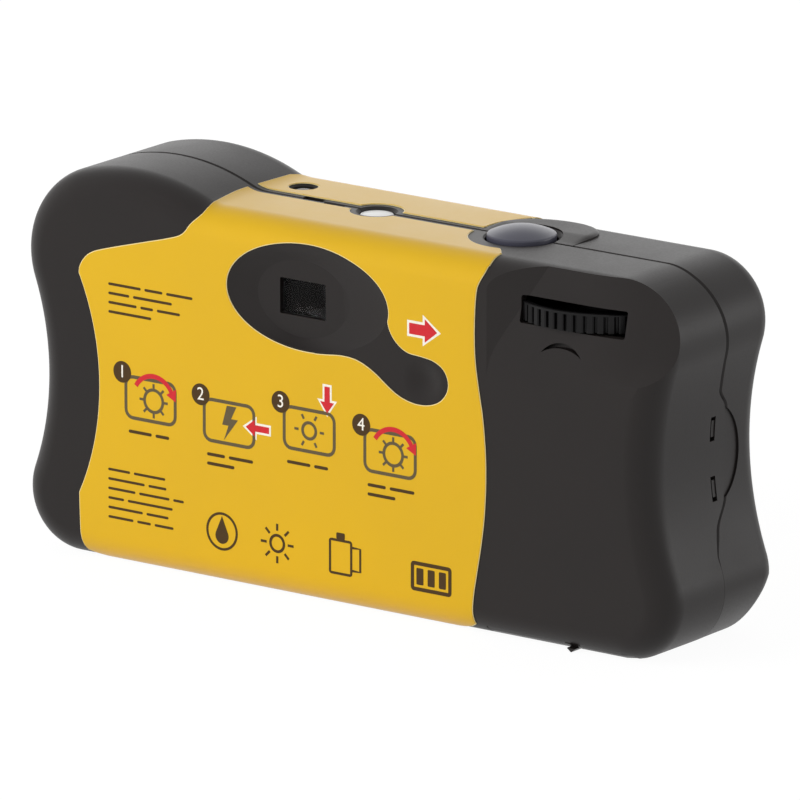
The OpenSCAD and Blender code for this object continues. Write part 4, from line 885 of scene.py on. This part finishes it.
def wheelProfile(w):
    low, high, rim = w["low"], w["high"], w["radius"]
    inner, floor = rim - w["lip"], high - w["sunk"]
    return [(0, 44.5), (2.7, 44.5), (2.7, low - 0.5), (8.4, low - 0.5), (8.4, low), (core, low),
            (core, high - w["flange"]), (rim, high - w["flange"]), (rim, high - 0.1), (rim - 0.1, high),
            (inner, high), (inner, floor), (5, floor), (5, 56.6), (0, 56.6)]


thumbwheel = lathe("ribbedWheel", [(r, z - wheel["low"]) for r, z in wheelProfile(wheel)], (0, 0, 0), count=150)
rib = ribMesh(wheel)
tree, names = ribRing(wheel)
ring = thumbwheel.modifiers.new("ribs", "NODES")
ring.node_group = tree
for key, value in (("Rib", rib), ("Count", wheel["ribs"]), ("Radius", core * mm), ("Finish", finishes["wheel"])):
    ring[names[key]] = value
ribbed = evaluated(thumbwheel)
thumbwheel.modifiers.clear()
thumbwheel.data = ribbed
bpy.data.objects.remove(rib)
for v in ribbed.vertices:
    v.co += Vector((wheel["x"] * mm, wheel["y"] * mm, wheel["low"] * mm))
# the wheel's finish carries painted shade of the slot
settle(thumbwheel, "wheel", 30)
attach(thumbwheel, "wind")
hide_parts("thumbwheel")
print("controls made")


# print on the label, in (u, z) as seen from the back, u to the right
printed = {"under": 16.15, "white": 16.19, "grey": 16.2, "dark": 16.21, "red": 16.22}
sheets = {"white": [], "grey": [], "dark": [], "red": []}


def stamp(colour, outer, inner=None):
    flip = lambda points: None if points is None else np.asarray(points, float) * (-1, 1)
    sheets[colour].append((flip(outer), flip(inner)))


def hoop(colour, centre, radius, width):
    stamp(colour, ovalPoints(centre, radius, radius), ovalPoints(centre, radius - width, radius - width))


def boxLine(colour, centre, w, h, radius, width):
    inner = roundedBox(centre, w - 2 * width, h - 2 * width, max(0.1, radius - width))
    stamp(colour, roundedBox(centre, w, h, radius), inner)


def stroke(colour, points, width):
    points = np.asarray(points, float)
    way = np.gradient(points, axis=0)
    way /= np.linalg.norm(way, axis=1)[:, None]
    side = np.column_stack([-way[:, 1], way[:, 0]]) * width / 2
    stamp(colour, np.concatenate([points + side, (points - side)[::-1]]))


def rays(colour, centre, near, far, apart):
    for a in range(0, 360, apart):
        stroke(colour, [onCircle(centre, near, a), onCircle(centre, far, a)], 0.4)


def arrow(colour, tail, tip, shaft, head, length, grow=0.0):
    tail, tip = np.array(tail, float), np.array(tip, float)
    way = (tip - tail) / np.linalg.norm(tip - tail)
    side = np.array([-way[1], way[0]])
    back, neck, point = tail - way * grow, tip - way * length - way * grow, tip + way * grow * 1.7
    thin, wide = side * (shaft / 2 + grow), side * (head / 2 + grow * 1.6)
    stamp(colour, [back + thin, neck + thin, neck + wide, point, neck - wide, neck - thin, back - thin])


# a red arrow with a white edge
def edgedArrow(tail, tip, shaft, head, length, edge):
    arrow("white", tail, tip, shaft, head, length, edge)
    arrow("red", tail, tip, shaft, head, length)


def sweepArrow(colour, centre, radius, start, stop, width):
    stroke(colour, circle(centre, radius, 24, start, stop), width)
    end = math.radians(stop)
    sign = 1 if stop > start else -1
    tip = onCircle(centre, radius, stop)
    way = sign * np.array([-math.sin(end), math.cos(end)])
    arrow(colour, tip - way * 0.05, tip + way * 1.7, 0.1, 2.2, 1.7)


def textBars(colour, left, top, widths, height=0.42, pitch=1.45):
    for k, row in enumerate(widths):
        at = left
        for w in row:
            stamp(colour, roundedBox((at + w / 2, top - k * pitch), w, height, height * 0.45, 3))
            at += w + 0.75


def numeral(mark, centre, high):
    curve = bpy.data.curves.new("numeral", "FONT")
    curve.body, curve.size, curve.extrude = mark, high * 1.35, 0.01
    curve.align_x = curve.align_y = "CENTER"
    holder = bpy.data.objects.new("numeral", curve)
    bpy.context.collection.objects.link(holder)
    mesh = evaluated(holder)
    level = printed["red"] - curve.extrude
    verts = np.array([(-(centre[0] + v.co.x), level + v.co.z, centre[1] + v.co.y) for v in mesh.vertices])
    faces = [list(p.vertices) for p in mesh.polygons]
    bpy.data.objects.remove(holder)
    return verts, faces


steps = {"lefts": (-35.6, -20.6, -5.4, 9.8), "height": 27.0, "wide": 10.0, "tall": 7.0}
press = (1.0, 2.6, 1.7, 0.35)                           # an arrow's shaft, head, head's length and white edge
numerals = []
for k, u in enumerate(steps["lefts"]):
    z = steps["height"] - (1.2 if k % 2 else 0)
    boxLine("grey", (u, z), steps["wide"], steps["tall"], 1.6, 0.55)
    stamp("dark", circle((u - 5.4, z + 3.7), 1.7, 32))
    numerals.append(numeral(str(k + 1), (u - 5.4, z + 3.7), 2.1))
    if k in (0, 3):                                     # turn the wheel
        hoop("grey", (u + 0.6, z), 2.0, 0.5)
        rays("grey", (u + 0.6, z), 2.0, 2.7, 45)
        sweepArrow("red", (u + 0.6, z), 3.9, 150, 30, 0.75)
    if k == 1:                                          # flash symbol with a press arrow
        stamp("grey", [(u - 0.4, z + 2.7), (u + 1.4, z + 2.7), (u + 0.4, z + 0.7), (u + 1.7, z + 0.7),
                       (u - 1.0, z - 2.8), (u - 0.1, z - 0.4), (u - 1.3, z - 0.4)])
        edgedArrow((u + 7.6, z), (u + 3.2, z), *press)
    if k == 2:                                          # framed sun and a press arrow
        hoop("grey", (u, z), 1.5, 0.5)
        rays("grey", (u, z), 2.0, 2.8, 60)
        edgedArrow((u + 3.4, z + 7.4), (u + 3.4, z + 3.3), *press)
    textBars("dark", u - 4.2, z - 5.4, [(3.4, 4.6), (5.2,)] if k % 2 else [(4.4, 2.6)], 0.5)
edgedArrow((13.4, 45.9), (18.6, 45.9), 1.7, 3.6, 2.3, 0.4)
textBars("dark", -43.6, 44.2, [(6.2, 3.4, 5.0), (4.0, 7.4), (5.4, 2.4, 4.4), (8.2,)])
textBars("dark", -43.8, 15.0,
         [(4.2, 6.0), (7.0, 3.4), (5.2, 5.8, 2.0), (3.0, 8.6), (6.6, 4.2), (4.8, 2.6, 3.6)], 0.4, 1.5)
hoop("dark", (-22.0, 8.6), 3.0, 0.4)                    # keep dry, keep out of the sun, film cartridge
stamp("dark", np.concatenate([circle((-22.0, 7.9), 1.25, 24, 160, 380), [(-22.0, 11.0)]]))
hoop("dark", (-11.5, 8.4), 1.5, 0.45)
rays("dark", (-11.5, 8.4), 2.0, 3.1, 45)
boxLine("dark", (0.5, 8.2), 4.4, 5.6, 0.5, 0.4)
stamp("dark", roundedBox((0.5, 11.5), 1.6, 1.0, 0.2))
stroke("dark", [(2.7, 10.0), (4.2, 10.0), (4.2, 6.4), (2.7, 6.4)], 0.4)
boxLine("dark", (17.5, 7.6), 7.6, 4.6, 0.6, 0.6)
for k in range(3):
    stamp("dark", roundedBox((15.4 + 2.1 * k, 7.6), 1.3, 2.6, 0.2))


# a stamp as a thin solid; a frame goes down its inside and back to its first row
def inkPart(outer, inner, colour):
    levels = [(outer, "under"), (outer, colour)]
    if inner is not None:
        levels += [(inner, colour), (inner, "under"), (outer, "under")]
    verts, faces = loft([upright(points, printed[level]) for points, level in levels], inner is None)
    if inner is not None:
        verts = verts[:4 * len(outer)]
        faces = [[v % len(verts) for v in face] for face in faces]
    return verts, faces


def printSheet(name, parts, finish):
    verts, faces = [], []
    for points, cells in parts:
        base = sum(len(v) for v in verts)
        verts.append(points)
        faces += [[v + base for v in c] for c in cells]
    sheet = link(name, np.concatenate(verts), faces, finish)
    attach(sheet, "body")


for colour, shapes in sheets.items():
    word = colour.capitalize()
    printSheet("print" + word, [inkPart(*shape, colour) for shape in shapes], "ink" + word)
printSheet("printNumerals", numerals, "inkWhite")
print("print made")


# pieces that keep their CAD shape: merged copies with smooth faces where they show, a finish everywhere
shown = {"film_door": ("shell", "door"), "lens": ("lens", "body"), "lens_bezel": ("shell", "body"),
         "lens_holder": ("inside", "body"), "viewfinder_front": ("clear", "body"),
         "viewfinder_eyepiece": ("pane", "body"), "flash_window": ("clear", "body"),
         "flash_button": ("redPlastic", "flash_key"), "flash_reflector": ("mirror", "body"),
         "flash_tube": ("clear", "body")}
hidden = {"inside": ("chassis", "cartridge_spool", "supply_spool"), "blackSteel": ("shutter_blade",),
          "steel": ("blade_spring", "drive_spring", "anti_reverse_pawl"),
          "brass": ("sync_contact", "contact_plus", "contact_minus", "flash_switch"),
          "pale": ("drive_lever", "release_latch", "sprocket"), "tin": ("cartridge_shell",),
          "film": ("film_strip", "film_roll"), "white": ("counter_dial",), "amber": ("ready_lamp",),
          "jacket": ("battery", "flash_capacitor"), "board": ("circuit_board",), "brown": ("board_parts",),
          "tape": ("transformer",)}


def dressed(node, finish, rider, trims=()):
    copy = bpy.data.objects.new(node + "Shown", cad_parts[node].data.copy())
    bpy.context.collection.objects.link(copy)
    b = bmesh.new()
    b.from_mesh(copy.data)
    bmesh.ops.remove_doubles(b, verts=b.verts, dist=1e-6)
    b.to_mesh(copy.data)
    b.free()
    for trim in trims:
        carve(copy, trim)
    settle(copy, finish, 12 if trims else 30)
    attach(copy, rider)
    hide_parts(node)
    return copy


tabTop = carve(block((-45, 13.2, 0.6), (-39, 17, 4)), halfBody(1, 2, 0.02))    # the tab ends under the back
tabEnd = block((-45, door["tabEnd"], -1), (-39, 17, 4))
for node, (finish, rider) in shown.items():
    dressed(node, finish, rider, (tabTop, tabEnd) if node == "film_door" else ())
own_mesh(dressed("button_spring", "steel", "body"))
for finish, nodes in hidden.items():
    for node in nodes:
        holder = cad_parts[node]
        if not holder.material_slots:
            holder.data.materials.append(finishes[finish])
        for place in holder.material_slots:
            place.material = finishes[finish]
print("CAD pieces dressed")


# stage: pale floor, white surroundings, soft lamps, camera at the photo's angle
studio = {"floorHalf": 3000, "floorDrop": 0.05, "floorTone": 0.86, "floorWhite": 0.9, "floorGlow": 1.06,
          "ambient": 0.38,
          "camera": {"azimuth": 216.58, "elevation": 14.65, "distance": 2.158, "target": (0, 0, 0.030),
                     "focal": 640.9, "shift": (-0.0023, -0.0059)},
          "lamps": [("keyLamp", (0.6, 0.92, 0.38), 0.9, 11.2, False), ("rimLamp", (0.62, -0.84, 0.3), 0.9, 1.8, True),
                    ("fillLamp", (-0.95, -0.75, 0.05), 0.7, 4.5, True)]}
half, tone = studio["floorHalf"], studio["floorTone"]
floorVerts = [(x * half, y * half, -studio["floorDrop"]) for x, y in ((-1, -1), (1, -1), (1, 1), (-1, 1))]
floor = link("floor", floorVerts, [[0, 1, 2, 3]])
f = Finish("floorPale")
speck = f.noise(0.05, 2.0)
f.set({"Base Color": f.mix(speck, (tone, tone, tone, 1), (tone * 1.03, tone * 1.03, tone * 1.03, 1)),
       "Roughness": 0.8})
glow = f.add("ShaderNodeEmission", None, {"Color": (1, 1, 1, 1), "Strength": studio["floorGlow"]})
rays = f.tree.nodes.new("ShaderNodeLightPath")
mirrored = f.add("ShaderNodeMath", {"operation": "MAXIMUM"},
                 {0: Wire(f, rays.outputs["Is Camera Ray"]), 1: Wire(f, rays.outputs["Is Glossy Ray"])})
seen = f.add("ShaderNodeMath", {"operation": "MULTIPLY"}, {0: mirrored, 1: studio["floorWhite"]})
mixed = f.add("ShaderNodeMixShader", None, {0: seen, 1: Wire(f, f.shader.outputs[0]), 2: glow})
f.tree.links.new(mixed.socket, f.tree.nodes["Material Output"].inputs["Surface"])
floor.data.materials.append(f.material)

world = bpy.data.worlds.new("studio")
bpy.context.scene.world = world
world.use_nodes = True
nodes = world.node_tree.nodes
path, strength = nodes.new("ShaderNodeLightPath"), nodes.new("ShaderNodeMapRange")
either, bright = nodes.new("ShaderNodeMath"), nodes.new("ShaderNodeMath")
either.operation = bright.operation = "MAXIMUM"
for source, given, target, taken in (
        (path, "Is Camera Ray", either, 0), (path, "Is Glossy Ray", either, 1), (either, 0, bright, 0),
        (path, "Is Transmission Ray", bright, 1), (bright, 0, strength, "Value"),
        (strength, 0, nodes["Background"], "Strength")):
    world.node_tree.links.new(source.outputs[given], target.inputs[taken])
strength.inputs["To Min"].default_value = studio["ambient"]
strength.inputs["To Max"].default_value = 1.0
nodes["Background"].inputs["Color"].default_value = (1, 1, 1, 1)

shot = studio["camera"]
target = Vector(shot["target"])
for name, place, size, power, reflected in studio["lamps"]:
    lamp = bpy.data.lights.new(name, "AREA")
    lamp.size, lamp.energy = size, power
    holder = bpy.data.objects.new(name, lamp)
    holder.location, holder.visible_glossy = place, reflected
    holder.rotation_euler = (target - Vector(place)).to_track_quat("-Z", "Y").to_euler()
    bpy.context.collection.objects.link(holder)

az, el = math.radians(shot["azimuth"]), math.radians(shot["elevation"])
away = Vector((math.sin(az) * math.cos(el), -math.cos(az) * math.cos(el), math.sin(el)))
lensCamera = bpy.data.cameras.new("camera")
lensCamera.lens, lensCamera.sensor_width = shot["focal"], 36
lensCamera.shift_x, lensCamera.shift_y = shot["shift"]
view = bpy.data.objects.new("camera", lensCamera)
view.location = target + away * shot["distance"]
view.rotation_euler = (-away).to_track_quat("-Z", "Y").to_euler()
bpy.context.collection.objects.link(view)
bpy.context.scene.camera = view
bpy.context.scene.view_settings.view_transform = "Standard"
print("stage set")
